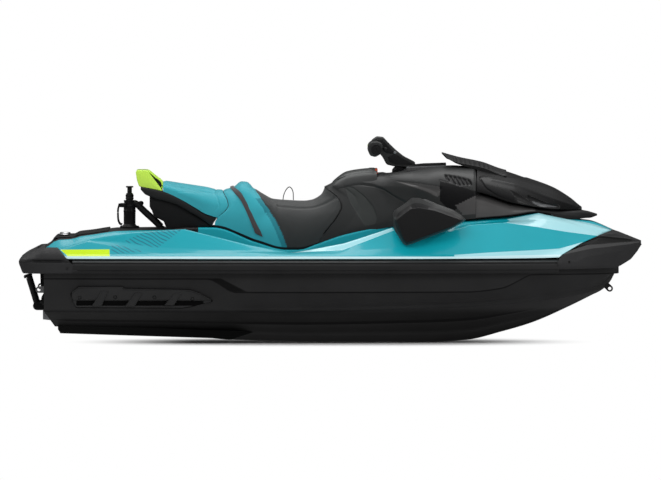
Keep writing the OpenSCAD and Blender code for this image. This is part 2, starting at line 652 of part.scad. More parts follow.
// The console takes the seat's section at its rear border and its own ahead of it.
function console_dome(v, u) = let (k = min(1, u / 0.12))
    dome(v, mix(seat_crown, console_crown, k), mix(seat_round, console_round, k));
console_rear = [for (k = seat_front_border) [k[0], k[1] + seat_gap]];
function console_pt(i, v, lift = 0) = let (
    u = console_us[i], x = mix(console_back, console_front, u), low = spine(console_feet[i]) + fit + skirt,
    z = low + (at(console_top, x) - low) * console_dome(v, u),
    bx = mix(at(console_rear, z), console_front, u)) place(bx, v * at(console_width, x), z + lift);
module console_body() {
    vs = both_sides(section_rows);
    color("#2d2f30") difference() {
        slab(
            [for (i = [0:len(console_us) - 1]) [for (v = vs) console_pt(i, v)]],
            [for (i = [0:len(console_us) - 1]) [for (v = vs)
                place(console_feet[i], v * at(console_width, mix(console_back, console_front, console_us[i])),
                    spine(console_feet[i]) + fit)]]);
        glovebox_pocket();
        at_column() {
            translate([0, 0, -160]) cylinder(r = column_r + pin_fit, h = 200);
            translate([0, 0, -26]) cylinder(r = collar_r + clear, h = 120);
        }
    }
}

glovebox_x = [1765 * stretch, 1765 * stretch + 150];
glovebox_half = 72;
glovebox_floor = 830;
module glovebox_pocket() {
    translate([glovebox_x[0], -glovebox_half, glovebox_floor])
        cube([glovebox_x[1] - glovebox_x[0], 2 * glovebox_half, 200]);
}
lid_hinge = [1986 * stretch, 0, 950];
// The lid lies on the console from its second station to its seventh.
lid_rows = [0.6, 0.35, 0.005];
lid_crown = [2, 13, 21, 25, 26, 24];
module glovebox_lid_body() {
    vs = both_sides(lid_rows);
    color("#3b3c3e") slab(
        [for (i = [1:6]) [for (v = vs) console_pt(i, v, 0.4 + 2 + lid_crown[i - 1] * (abs(v) > 0.5 ? 0.4 : 1))]],
        [for (i = [1:6]) [for (v = vs) console_pt(i, v, 0.4)]]);
}

hood_top = [[2536, 985], [2600, 968], [2700, 945], [2790, 915], [2954, 857], [3044, 805], [3119, 748]];
hood_edge = [[2536, 836], [2561, 832], [2733, 778], [2995, 738], [3119, 734]];
hood_width = [[2536, 348], [2733, 330], [2900, 250], [3000, 190], [3119, 78]];
hood_hinge = [3121 * stretch, 0, 736];
hood_stations = [2536, 2600, 2650, 2700, 2760, 2820, 2880, 2940, 3000, 3060, 3119];
cover_gap = 0.6;
hood_edge_table = [for (x = hood_stations) [x, at(hood_edge, x)]];
fairing_nose = [[3119, 733.4], [3158, 726], [3204, 712]];
fairing_base = [[2529, 692], [2600, 698], [2680, 704], [2760, 713], [2855, 725], [2925, 719], [2995, 704], [3158, 690], [3204, 703]];
fairing_width = [[2529, 372], [2600, 350], [2733, 312], [2855, 250], [2950, 215], [3100, 140], [3204, 55]];
function fairing_top(x) = x <= 3119 ? lookup(x, hood_edge_table) - cover_gap : at(fairing_nose, x);
module nose_fairing_body() {
    xs = [
        console_front + 0.6, 2536, 2600, 2650, 2680, 2700, 2760, 2820, 2855, 2880, 2925, 2940, 2995, 3000, 3060, 3119,
        3158, 3204];
    vs = both_sides(section_rows);
    color("#1b1c1d") difference() {
        slab(
            [for (x = xs) [for (v = vs) let (low = at(fairing_base, x) + fit + 5)
                place(x, v * at(fairing_width, x), low + (fairing_top(x) - low) * dome(v, 9, 2.2))]],
            [for (x = xs) [for (v = vs) place(x, v * at(fairing_width, x), at(fairing_base, x) + fit)]]);
        bin_pocket(fit);
    }
}

bin_rim = 736;
module storage_bin_body() {
    color("#101112") difference() {
        translate([bin_x[0], -bin_half, bin_floor])
            cube([bin_x[1] - bin_x[0], 2 * bin_half, bin_rim - bin_floor]);
        translate([bin_x[0] + bin_wall, -bin_half + bin_wall, bin_floor + bin_wall])
            cube([bin_x[1] - bin_x[0] - 2 * bin_wall, 2 * (bin_half - bin_wall), 400]);
    }
}

gauge_x = 2242;
gauge_length = 84;
gauge_slope = atan2(at(console_top, gauge_x + 84) - at(console_top, gauge_x), gauge_length * stretch);
module gauge_body() {
    color("#0c0d0e") translate([gauge_x * stretch, 0, at(console_top, gauge_x) + 1.6]) rotate([0, -gauge_slope, 0])
        translate([0, -75, 0]) cube([gauge_length, 150, 14]);
}

// Height of the front cover at x, v of its half width from the centre line.
function hood_z(x, v) = let (low = at(hood_edge, x)) low + (at(hood_top, x) - low) * dome(v, 2.6, 1.5) + 3;
module hood_body() {
    vs = both_sides(section_rows);
    function under(x, v) = let (
        w = at(hood_width, x), wall = cover_wall * min(1, (3150 - x) / 300 + 0.2))
        place(x, v * (w - wall), hood_z(x, v) - 3 - wall * dome(v, 2.6, 1.5));
    color("#242527") slab(
        [for (x = hood_stations) [for (v = vs) place(x, v * at(hood_width, x), hood_z(x, v))]],
        [for (x = hood_stations) [for (v = vs) under(x, v)]]);
}

deflector_top = [[2342, 1054], [2442, 1027], [2536, 1008], [2636, 982], [2700, 960]];
module hood_deflector_body() {
    // Its front half lies on the cover, its rear half stands over the instruments.
    free = [2342, 2390, 2440, 2490];
    vs = both_sides([0.6, 0.35, 0.005]);
    function free_top(x, v) = at(deflector_top, x) - 70 * v ^ 2;
    color("#1d1e20") slab(
        concat(
            [for (x = free) [for (v = vs) place(x, v * mix(330, 348, (x - 2342) / 194), free_top(x, v))]],
            [for (x = [2536, 2600, 2650, 2700]) [for (v = vs)
                place(x, v * at(hood_width, x), max(free_top(x, v), hood_z(x, v) + fit + 5))]]),
        concat(
            [for (x = free) [for (v = vs) place(x, v * mix(330, 348, (x - 2342) / 194),
                free_top(x, v) - mix(8, 19, (x - 2342) / 148))]],
            [for (x = [2536, 2600, 2650, 2700]) [for (v = vs)
                place(x, v * at(hood_width, x), hood_z(x, v) + fit)]]));
}

// Mirror pods stand out on a neck beside the console, over the gunwale.
mirror_outline = [
    [2070, 723], [2079, 741], [2137, 780], [2174, 811], [2219, 809], [2302, 773], [2410, 735],
    [2480, 690], [2398, 641], [2143, 544], [2124, 559], [2073, 639]];
mirror_neck = [2300, 752];
module mirror_body() {
    function ring(y, k, c) = [for (p = mirror_outline)
        place(c[0] + (p[0] - c[0]) * k, -y, c[1] + (p[1] - c[1]) * k)];
    mid = [2270, 690];
    color("#1e1f21") skin([
        ring(330, 0.2, mirror_neck), ring(440, 0.4, mirror_neck), ring(500, 0.86, [2280, 715]),
        ring(520, 0.97, mid), ring(560, 1, mid), ring(580, 0.9, mid), ring(590, 0.66, mid)]);
}

// ---- steering -----------------------------------------------------------------------------
column_foot = [2120 * stretch, 0, 945];
column_tilt = 35;
collar_r = 46;
module at_column() {
    translate(column_foot) rotate([0, -column_tilt, 0]) children();
}
bar_x = 1978 * stretch;
bar_z = 1076;
module steering_arm_body() {
    outline = [
        [-172, 156], [-166, 178], [-139, 197], [-102, 193], [-78, 166], [-33, 122], [12, 86], [76, 54], [72, 34], [40, 24],
        [-40, 30], [-84, 40], [-108, 84], [-128, 108], [-150, 122], [-168, 140]];
    color("#242527") union() {
        at_column() {
            translate([0, 0, -150]) cylinder(r = column_r, h = 160);
            translate([0, 0, -20]) cylinder(r = collar_r, h = 60);
        }
        translate(column_foot) side_plate(outline, -58, 58);
    }
}
pod_width = 62;
pod_y = bar_half - 194;
module handlebar_body() {
    color("#161718") translate([bar_x, 0, bar_z]) difference() {
        mirrored() along_y(bar_r, 58 + fit, bar_half - 2);
        cube([100, 2, 100], center = true);
    }
}
grip_length = 118;
grip_r = 18;
module grips_body() {
    color("#0e0f10") translate([bar_x, 0, bar_z]) mirrored() difference() {
        union() {
            along_y(grip_r, bar_half - grip_length, bar_half);
            along_y(grip_r + 12, bar_half - 10, bar_half + 4);
        }
        along_y(bar_r + fit, bar_half - grip_length - 1, bar_half - 1);
    }
}
module control_pods_body() {
    color("#1a1b1c") translate([bar_x, 0, bar_z]) mirrored() difference() {
        translate([-22, pod_y, -24]) cube([56, pod_width, 62]);
        along_y(bar_r + fit, pod_y - 6, pod_y + pod_width + 4);
    }
}
// Curved lever blade in front of a grip, pivoted at the pod.
module lever_body() {
    color("#2b2c2e") translate([bar_x, 0, bar_z]) {
        translate([34 + fit, -pod_y - 54, -6]) cube([26, 46, 14]);
        translate([46, -pod_y - 170, -6]) cube([12, 120, 14]);
    }
}

// ---- engine and jet pump --------------------------------------------------------------------
module engine_body() {
    color("#6c6f73") translate([engine_bay_x + bay_gap, -engine_size[1] / 2, engine_bay_floor])
        cube(engine_size);
}
shaft_front = engine_bay_x + bay_gap - fit;
impeller_x = transom + 470;
impeller_length = 90;
hub_r = 30;
module drive_shaft_body() {
    color("#b9bcc0") translate([0, 0, pump_z]) difference() {
        along_x(shaft_r, impeller_x - 40, shaft_front);
        along_x(shaft_r + 20, impeller_x - fit, impeller_x + impeller_length + fit);
    }
}
module impeller_body() {
    blade_r = pump_bore_r - impeller_gap;
    color("#c9ccd0") translate([0, 0, pump_z]) union() {
        along_x(hub_r, impeller_x, impeller_x + impeller_length);
        for (k = [0:3]) rotate([90 * k, 0, 0]) translate([impeller_x + impeller_length / 2, 0, 0])
            rotate([0, 0, 38]) translate([-42, -2.5, hub_r - 6]) cube([84, 5, blade_r - hub_r - 4]);
    }
}

ear_wall = 10;
ear_half = pump_bore_r + pump_wall - 2 + ear_wall;        // outer face of the ears that carry ring and gate
ring_x = transom + 118;
ring_r = 74;
ring_wall = 8;
venturi_end = ring_x + 38;
venturi_r = 56;
nozzle_pivot_x = ring_x - 14;
housing_rear = transom + 300;
stub_r = pin_r + 4;
gate_half = ear_half + 18;
gate_wall = 8;
module pump_housing_body() {
    outer = pump_bore_r + pump_wall;
    module ear() {
        difference() {
            union() {
                side_plate([
                    [ring_x - 16, pump_z - 18], [ring_x - 16, pump_z + 18], [housing_rear + 20, pump_z + 34],
                    [housing_rear + 20, pump_z - 34]], -ear_half, -ear_half + ear_wall);
                translate([housing_rear, -ear_half, pump_z - 34]) cube([20, ear_half - outer + 14, 68]);
                translate([ring_x, 0, pump_z]) along_y(stub_r, -gate_half - gate_wall, -ear_half + 2);
            }
            translate([ring_x, 0, pump_z]) along_y(pin_r + pin_fit, -gate_half - 30, -ear_half + 20);
        }
    }
    color("#8e9296") union() {
        translate([0, 0, pump_z]) rotate([0, 90, 0]) rotate_extrude(angle = 360) polygon([
            [venturi_r - 9, venturi_end], [venturi_r, venturi_end], [outer, housing_rear],
            [outer, tunnel_front - fit], [pump_bore_r, tunnel_front - fit], [pump_bore_r, housing_rear]]);
        mirrored() ear();
    }
}

module trim_ring_body() {
    color("#7d8186") difference() {
        union() {
            translate([0, 0, pump_z]) along_x(ring_r + ring_wall, ring_x - 26, ring_x + 10);
            translate([ring_x, 0, pump_z]) along_y(pin_r, -ear_half + 1, ear_half - 1);
        }
        translate([0, 0, pump_z]) along_x(ring_r, ring_x - 30, ring_x + 14);
        translate([nozzle_pivot_x, 0, pump_z - 120]) cylinder(r = pin_r + pin_fit, h = 240);
    }
}
nozzle_r = 62;
nozzle_tail = transom - 12;
module steering_nozzle_body() {
    front = nozzle_pivot_x + 16;
    color("#5c6065") union() {
        translate([0, 0, pump_z]) rotate([0, 90, 0]) rotate_extrude(angle = 360) polygon([
            [44, nozzle_tail], [50, nozzle_tail], [nozzle_r, front - 20], [nozzle_r, front], [54, front], [54, front - 20]]);
        for (s = [0, 1]) mirror([0, 0, 0]) translate([nozzle_pivot_x, 0, pump_z + (s > 0 ? nozzle_r - 4 : -ring_r - ring_wall + 1)])
            cylinder(r = pin_r, h = ring_r + ring_wall - nozzle_r + 3);
    }
}

// The gate is a curved scoop on two arms that turn on stubs outside the pump's ears.
gate_r = 150;
gate_from = 100;
gate_sweep = 50;
gate_pivot = [ring_x, 0, pump_z];
module reverse_gate_body() {
    arm = concat(
        [[-14, -12], [8, -16], [18, 4], [12, 16]],
        [for (a = [gate_from - 4:6:gate_from + gate_sweep + 2]) (gate_r + gate_wall - 1) * [cos(a), sin(a)]]);
    color("#4a4e52") translate(gate_pivot) difference() {
        union() {
            rotate([90, 0, 0]) rotate([0, 0, gate_from]) translate([0, 0, -gate_half - 3])
                rotate_extrude(angle = gate_sweep) translate([gate_r, 0]) square([gate_wall, 2 * gate_half + 6]);
            mirrored() {
                side_plate(arm, -gate_half - gate_wall, -gate_half);
                along_y(20, -gate_half - gate_wall, -gate_half);
            }
        }
        along_y(stub_r + pin_fit, -gate_half - 20, gate_half + 20);
    }
}

plate_wall = 12;
module ride_plate_body() {
    xs = [transom_x + 90, 330, 480, 620, 740];
    ys = [-tunnel_half + 0.4, -60, 0, 60, tunnel_half - 0.4];
    function bottom(x, y) = vee_z(x, y / widen) + 1;
    color("#3f4245") slab(
        [for (x = xs) [for (y = ys) [x * stretch, y, bottom(x, y) + plate_wall]]],
        [for (x = xs) [for (y = ys) [x * stretch, y, bottom(x, y)]]]);
}
grate_bar_r = 5;
module intake_grate_body() {
    x0 = tunnel_front + 26;
    x1 = tunnel_front + intake_length - 6;
    side = intake_half - grate_bar_r - fit;
    function z(x, y) = vee_z(x / stretch, y / widen) + 12;
    module rod(a, b) {
        d = b - a;
        translate(a) rotate([0, acos(d[2] / norm(d)), atan2(d[1], d[0])]) cylinder(r = grate_bar_r, h = norm(d));
    }
    color("#34373a") union() {
        for (y = [-side, -44, 0, 44, side]) rod([x0 - 5.5, y, z(x0 - 5.5, y)], [x1 + 5.5, y, z(x1 + 5.5, y)]);
        for (x = [x0, x1]) for (s = [-1, 1]) rod([x, -s * 1, z(x, 0)], [x, s * (side + 2), z(x, side + 2)]);
    }
}

// ---- tow pylon ----------------------------------------------------------------------------
post_x = 610 * stretch;
post_bottom = 492;
post_top = 842;
deck_at_post = at(platform_height, 610);
handle_in = 46;
socket_top = 788;
brace_reach = 196 * stretch;
module pylon_base_body() {
    foot_z = deck_at_post + fit;
    color("#141516") difference() {
        union() {
            translate([post_x, 0, foot_z]) cylinder(r = post_r + 13, h = socket_top - foot_z);
            translate([post_x, 0, foot_z]) cylinder(r = post_r + 34, h = 14);
            // Braces run forward and outward from the top of the socket to feet on the deck.
            mirrored() hull() {
                translate([post_x + 14, -12, socket_top - 50]) cube([24, 12, 40]);
                translate([post_x + brace_reach - 46, -92, foot_z]) cube([46, 26, 12]);
            }
            // Rear shells hold the spotter's handles.
            translate([post_x - 60, -handle_in + fit, socket_top - 42]) cube([50, 2 * (handle_in - fit), 26]);
        }
        translate([post_x, 0, 0]) cylinder(r = post_r + pin_fit, h = 1000);
    }
}
module pylon_post_body() {
    color("#1b1c1d") translate([post_x, 0, 0]) union() {
        translate([0, 0, post_bottom]) cylinder(r = post_r, h = post_top - post_bottom);
        translate([0, 0, socket_top + 4]) cylinder(r = post_r + 3, h = 26);
        translate([0, 0, post_top - 14]) cylinder(r = 13, h = 30);
        translate([0, 0, post_top + 16]) cylinder(r = 21, h = 8);
    }
}
// Two hand loops for the spotter, one on each side, standing behind the socket.
module spotter_handles_body() {
    outline = [[-8, 0], [-46, 18], [-58, 60], [-58, 120], [-46, 146], [-38, 150], [-38, 138], [-47, 116], [-47, 62], [-38, 28], [-8, 12]];
    color("#0f1011") mirrored() translate([post_x - 36, 0, 0])
        side_plate([for (p = outline) [p[0] * 0.55, p[1] * 0.82 + deck_at_post + fit + 14]], -handle_in - 20, -handle_in);
}

// ---- boarding step --------------------------------------------------------------------------
step_pivot = [100 * stretch, 0, 205];
step_lean = 17;
module step_brackets_body() {
    reach = transom - step_pivot[0];
    color("#26272a") mirrored() union() {
        union() {
            translate([step_pivot[0], 0, step_pivot[2]]) along_y(24, -step_half - 40, -step_half - 18);
            translate([step_pivot[0], -step_half - 40, step_pivot[2] - 24]) cube([reach - 0.3, 22, 48]);
            translate([step_pivot[0], 0, step_pivot[2]]) along_y(8, -step_half - 20, -step_half + 6);
        }
    }
}
module at_step() {
    translate(step_pivot) rotate([0, -step_lean, 0]) children();
}
module step_frame_body() {
    color("#101112") at_step() mirrored() difference() {
        union() {
            translate([0, -step_half, 0]) cylinder(r = step_tube_r, h = step_arm);
            along_y(20, -step_half - 12, -step_half + 12);
        }
        along_y(8 + pin_fit, -step_half - 14, -step_half + 14);
    }
}
module step_tread_body() {
    color("#17181a") at_step() translate([-26, -step_half - step_tube_r, step_arm + fit])
        cube([44, 2 * (step_half + step_tube_r), 14]);
}

// ---- eyes and plugs -------------------------------------------------------------------------
stem_foot = [3232, 290];
stem_head = [3280, 340];
eye_r = 18;
module eye(reach) {
    difference() {
        union() {
            translate([0, eye_wall / 2, 0]) rotate([90, 0, 0]) cylinder(r = eye_r, h = eye_wall);
            translate([0, -eye_wall / 2, -eye_r]) cube([reach, eye_wall, 2 * eye_r]);
        }
        translate([0, eye_wall, 0]) rotate([90, 0, 0]) cylinder(r = eye_bore_r, h = 2 * eye_wall);
    }
}
// The bow eye stands square off the stem, below the bumper.
stem_slope = atan2(stem_head[1] - stem_foot[1], (stem_head[0] - stem_foot[0]) * stretch);
bow_eye_reach = 26;
bow_eye_at = [
    (stem_foot[0] + stem_head[0]) / 2 * stretch + bow_eye_reach * sin(stem_slope), 0,
    (stem_foot[1] + stem_head[1]) / 2 - bow_eye_reach * cos(stem_slope)];
module bow_eye_body() {
    color("#b4b7ba") translate(bow_eye_at) rotate([0, -90 - stem_slope, 0]) eye(bow_eye_reach - fit);
}
stern_eye = [112, 400, 300];
module stern_eyes_body() {
    color("#b4b7ba") mirrored() translate([transom - 29, -stern_eye[1] * widen, stern_eye[2]])
        eye(29 - fit);
}
plug_y = 300;
module drain_plugs_body() {
    color("#1b1c1d") mirrored() translate([0, -plug_y * widen, 232]) {
        along_x(20, transom - 12, transom - fit);
        along_x(9, transom - 26, transom - 11);
    }
}

// ---- assembly -----------------------------------------------------------------------------
module afloat() {
    translate([-length / 2, 0, -draft]) children();
}
afloat() {
    hull_body();  // hull
    deck_body();  // deck
    bow_bumper_body();  // bow_bumper
    stern_bumper_body();  // stern_bumper
    rub_rail_body();  // rub_rail_right
    mirror([0, 1, 0]) rub_rail_body();  // rub_rail_left
    sponson_body();  // sponson_right
    mirror([0, 1, 0]) sponson_body();  // sponson_left
    platform_mat_body();  // platform_mat
    footwell_mats_body();  // footwell_mats
    cargo_anchors_body();  // cargo_anchors
    seat_support_body();  // seat_support
    driver_seat_body();  // driver_seat
    seat_strap_body();  // seat_strap
    seat_pull_loop_body();  // seat_pull_loop
    passenger_seat_body();  // passenger_seat
    seat_trim_body();  // seat_trim
    grab_handle_body();  // grab_handle
    console_body();  // console
    nose_fairing_body();  // nose_fairing
    storage_bin_body();  // storage_bin
    gauge_body();  // gauge
    mirror_body();  // mirror_right
    mirror([0, 1, 0]) mirror_body();  // mirror_left
    hood_body();  // hood
    hood_deflector_body();  // hood_deflector
    glovebox_lid_body();  // glovebox_lid
    steering_arm_body();  // steering_arm
    handlebar_body();  // handlebar
    grips_body();  // grips
    control_pods_body();  // control_pods
    lever_body();  // throttle_lever
    mirror([0, 1, 0]) lever_body();  // brake_lever
    engine_body();  // engine
    drive_shaft_body();  // drive_shaft
    impeller_body();  // impeller
    pump_housing_body();  // pump_housing
    trim_ring_body();  // trim_ring
    steering_nozzle_body();  // steering_nozzle
    reverse_gate_body();  // reverse_gate
    ride_plate_body();  // ride_plate
    intake_grate_body();  // intake_grate
    pylon_base_body();  // pylon_base
    pylon_post_body();  // pylon_post
    spotter_handles_body();  // spotter_handles
    step_brackets_body();  // step_brackets
    step_frame_body();  // step_frame
    step_tread_body();  // step_tread
    bow_eye_body();  // bow_eye
    stern_eyes_body();  // stern_eyes
    drain_plugs_body();  // drain_plugs
}
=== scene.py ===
# %% [markdown]
# # A three-seat personal watercraft
#
# The hard pieces (pump, shaft, eyes, engine) come from a CAD model that is loaded as a fixed frame.
# Everything a person sees first, such as the hull's skin, the deck, the seats and the cover, is drawn
# again here as smooth surfaces, each worked out with numpy on a grid of points. All work is in
# millimetres, x forward from the stern bumper, y to port and z up from the keel, and is turned into
# the frame's metres when a mesh is made.

# %% Load the frame
import math

import bmesh
import bpy
import numpy as np
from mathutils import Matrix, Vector


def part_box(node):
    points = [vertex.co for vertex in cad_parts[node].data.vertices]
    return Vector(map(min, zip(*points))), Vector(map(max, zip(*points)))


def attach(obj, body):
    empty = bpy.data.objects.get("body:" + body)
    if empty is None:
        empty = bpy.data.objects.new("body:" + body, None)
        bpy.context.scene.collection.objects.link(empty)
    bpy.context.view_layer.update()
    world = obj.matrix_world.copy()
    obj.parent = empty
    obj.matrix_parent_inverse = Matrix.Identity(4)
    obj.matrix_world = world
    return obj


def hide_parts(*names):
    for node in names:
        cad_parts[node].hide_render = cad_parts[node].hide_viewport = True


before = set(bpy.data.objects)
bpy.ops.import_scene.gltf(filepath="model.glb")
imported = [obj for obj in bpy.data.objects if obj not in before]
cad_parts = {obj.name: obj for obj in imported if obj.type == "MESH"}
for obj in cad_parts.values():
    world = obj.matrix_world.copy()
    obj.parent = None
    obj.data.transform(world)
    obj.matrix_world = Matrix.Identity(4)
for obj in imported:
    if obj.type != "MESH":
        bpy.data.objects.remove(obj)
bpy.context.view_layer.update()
scene = bpy.context.scene
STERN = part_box("stern_bumper")[0].x
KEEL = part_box("hull")[0].z
LENGTH = (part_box("bow_bumper")[1].x - STERN) * 1000
print("nodes", len(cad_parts), "length", round(LENGTH))

# %% [markdown]
# ## Curves
#
# A boat is drawn from a few long curves: keel, chine, gunwale, crest. Each is a list of knots, and a
# cubic through them whose slopes never overshoot keeps the lines fair. Straight lines between knots
# would leave a kink at each one.

# %% Fair curves through knots
def curve(*knots):
    """Cubic Hermite curve through (x, value) knots, with the harmonic mean of the slopes at each."""
    k = np.array(knots, float)
    x, v = k[:, 0], k[:, 1]
    s = np.diff(v) / np.diff(x)
    product = s[:-1] * s[1:]
    inner = np.where(product > 0, 2 * product / np.where(product > 0, s[:-1] + s[1:], 1), 0)
    m = np.concatenate([s[:1], inner, s[-1:]])

    def at(q):
        """The Hermite cubic of q's interval: end values weighed by 1 - 3t^2 + 2t^3 and 3t^2 - 2t^3, end
        slopes by h t (1 - t)^2 and h t^2 (t - 1), where t is q's share of the interval's length h."""
        q = np.asarray(q, float)
        i = np.clip(np.searchsorted(x, q, side="right") - 1, 0, len(x) - 2)
        h = x[i + 1] - x[i]
        t = np.clip((q - x[i]) / h, 0, 1)
        return (v[i] * (1 + 2 * t) * (1 - t) ** 2 + h * m[i] * t * (1 - t) ** 2
                + v[i + 1] * t ** 2 * (3 - 2 * t) + h * m[i + 1] * t ** 2 * (t - 1))
    return at


def line(*knots):
    """Straight lines between (x, value) knots."""
    k = np.array(knots, float)
    return lambda q: np.interp(q, k[:, 0], k[:, 1])


def mix(a, b, t):
    """The point a share t of the way from a to b."""
    return a + (b - a) * t


def ease(a, b, x):
    """0 before a, 1 after b, and the smooth step 3t^2 - 2t^3 between them."""
    t = np.clip((np.asarray(x, float) - a) / (b - a), 0, 1)
    return t * t * (3 - 2 * t)


def dome(v, p, q):
    """Height across a section: (1 - |v|^p)^(1/q), 1 at the centre line and 0 at v = -1 and 1."""
    return np.maximum(0, 1 - np.abs(v) ** p) ** (1 / q)


# %% [markdown]
# ## Grids of points
#
# A surface is a grid P[station, row] of points. `strip` joins neighbours with quads, `rounded` swaps
# each row for a small fillet so that edges catch the light, and `make` welds the patches of one piece,
# turns their faces outwards and puts them into a mesh.

# %% Grid tools
def xyz(x, y, z):
    """Stacks three arrays of one shape into points."""
    return np.stack(np.broadcast_arrays(np.asarray(x, float), y, z), -1)


def mirror(P):
    """The mirror image of points in the plane y = 0."""
    return P * [1, -1, 1]


def both(P):
    """A half grid on starboard, rows running inwards, followed by its mirror image on port."""
    return np.concatenate([P, mirror(P[:, ::-1])], axis=1)


def centres(P):
    """The middle of each quad of a grid: half the sum of two opposite corners."""
    return (P[:-1, :-1] + P[1:, 1:]) / 2


def rounded(P, radii, n=3):
    """Fillets the rows of P: each inner row becomes n + 1 points of the parabola whose legs are the
    row's radius long. Returns the new grid and, for each gap between its rows, the old row after it."""
    out, span = [P[:, :1]], []
    t = np.linspace(0, 1, n + 1)[None, :, None]
    for j in range(1, P.shape[1] - 1):
        here, before, after = P[:, j], P[:, j - 1] - P[:, j], P[:, j + 1] - P[:, j]
        if radii[j] <= 0:
            out.append(here[:, None])
            span.append(j)
            continue
        cut = [np.minimum(radii[j], 0.45 * np.linalg.norm(d, axis=1)) / np.maximum(
            np.linalg.norm(d, axis=1), 1e-9) for d in (before, after)]
        a, b = (here + before * cut[0][:, None])[:, None], (here + after * cut[1][:, None])[:, None]
        out.append(a * (1 - t) ** 2 + 2 * here[:, None] * t * (1 - t) + b * t ** 2)
        span += [j] + [j + (k >= n / 2) for k in range(n)]
    out.append(P[:, -1:])
    span.append(P.shape[1] - 1)
    return np.concatenate(out, axis=1), np.array(span)


def finer(P, span, k=2):
    """Adds k - 1 evenly spaced rows between each two rows of P, and repeats their span numbers to match."""
    t = np.arange(k)[None, None, :, None] / k
    Q = mix(P[:, :-1, None], P[:, 1:, None], t).reshape(P.shape[0], -1, 3)
    return np.concatenate([Q, P[:, -1:]], axis=1), np.repeat(span, k)


def strip(P, wrap=False, keep=None, mat=0):
    """Quads between neighbouring points of P. wrap joins the last row to the first, keep is a mask of
    quads, and mat one material number or one for each quad."""
    m, n = P.shape[:2]
    I, J = np.meshgrid(np.arange(m - 1), np.arange(n if wrap else n - 1), indexing="ij")
    a, b = I * n + J, I * n + (J + 1) % n
    F = np.stack([a, b, b + n, a + n], -1)
    M = np.broadcast_to(mat, F.shape[:2])
    if keep is not None:
        F, M = F[keep], M[keep]
    return P.reshape(-1, 3), F.reshape(-1, 4), M.reshape(-1)


def shell(top, under, mat=0, under_mat=None):
    """A closed solid between two grids of the same shape: both faces and the four sides."""
    sides = [np.stack([a, b], 1) for a, b in (
        (top[0], under[0]), (top[-1], under[-1]), (top[:, 0], under[:, 0]), (top[:, -1], under[:, -1]))]
    um = (mat if np.ndim(mat) == 0 else 0) if under_mat is None else under_mat
    return [strip(top, mat=mat), strip(under, mat=um)] + [strip(s, mat=um) for s in sides]


def capped(row, hub=None, wrap=True):
    """Closes a ring of points with quads that all meet at its hub, or at its mean where none is given."""
    hub = row.mean(0) if hub is None else hub
    return strip(np.stack([row, np.repeat(hub[None], len(row), 0)]), wrap=wrap)


def lathe(profile, origin, axis, turns=32):
    """Turns an (along, radius) profile round an axis through origin: origin + along axis + radius
    (cos a side + sin a side'), with side and side' square to the axis and to each other."""
    axis = np.array(axis, float) / np.linalg.norm(axis)
    side = np.cross(axis, [0, 0, 1] if abs(axis[2]) < 0.9 else [1, 0, 0])
    side /= np.linalg.norm(side)
    a = np.linspace(0, 2 * np.pi, turns, endpoint=False)[None, :, None]
    ring = np.cos(a) * side + np.sin(a) * np.cross(axis, side)
    p = np.array(profile, float)
    return np.array(origin, float) + p[:, :1, None] * axis + p[:, 1:, None] * ring


def tube(path, radius, turns=12, cap=True):
    """A round tube along a path of points: a ring square to the path's direction at each point."""
    p = np.array(path, float)
    d = np.gradient(p, axis=0)
    d /= np.linalg.norm(d, axis=1, keepdims=True)
    up = np.array([0, 0, 1.0]) if abs(d[0][2]) < 0.9 else np.array([1.0, 0, 0])
    s = np.cross(d, up)
    s /= np.maximum(np.linalg.norm(s, axis=1, keepdims=True), 1e-9)
    t = np.cross(d, s)
    r = np.broadcast_to(radius, len(p))[:, None, None]
    a = np.linspace(0, 2 * np.pi, turns, endpoint=False)[None, :, None]
    rings = p[:, None] + r * (np.cos(a) * s[:, None] + np.sin(a) * t[:, None])
    if cap:
        rings = np.concatenate([np.repeat(p[:1, None], turns, 1), rings, np.repeat(p[-1:, None], turns, 1)])
    return rings


def stretched_tube(path, radius, turns, stretch):
    """A tube whose rings are stretched about its path, as patches with both ends closed."""
    T = tube(path, radius, turns, cap=False)
    T = path[:, None] + (T - path[:, None]) * stretch
    return [strip(T, wrap=True), capped(T[0], path[0]), capped(T[-1], path[-1])]


def smooth_path(points, n=40):
    """A Catmull-Rom curve through the points, n points long."""
    p = np.array(points, float)
    p = np.concatenate([[2 * p[0] - p[1]], p, [2 * p[-1] - p[-2]]])
    q = np.linspace(0, len(p) - 3, n)
    i = np.minimum(q.astype(int), len(p) - 4)
    t = (q - i)[:, None]
    a, b, c, d = p[i], p[i + 1], p[i + 2], p[i + 3]
    return 0.5 * (2 * b + (c - a) * t + (2 * a - 5 * b + 4 * c - d) * t ** 2
                  + (3 * b - a - 3 * c + d) * t ** 3)


def turned(profile, origin, axis, turns=32, mat=0):
    """A profile turned round an axis, as a patch that is ready for make."""
    return strip(lathe(profile, origin, axis, turns), wrap=True, mat=mat)


def rectangle(x0, x1, half):
    """The corners of a plan rectangle from x0 to x1, half wide to each side."""
    return [(x0, -half), (x1, -half), (x1, half), (x0, half)]


def stacked(outline, steps, height=0.0):
    """Rings over a plan outline: for each (k, z) step the outline scaled by k about its mean, at a
    height of height + z."""
    mid = outline.mean(0)
    return np.stack([xyz(*(mid + (outline - mid) * k).T, height + z) for k, z in steps])


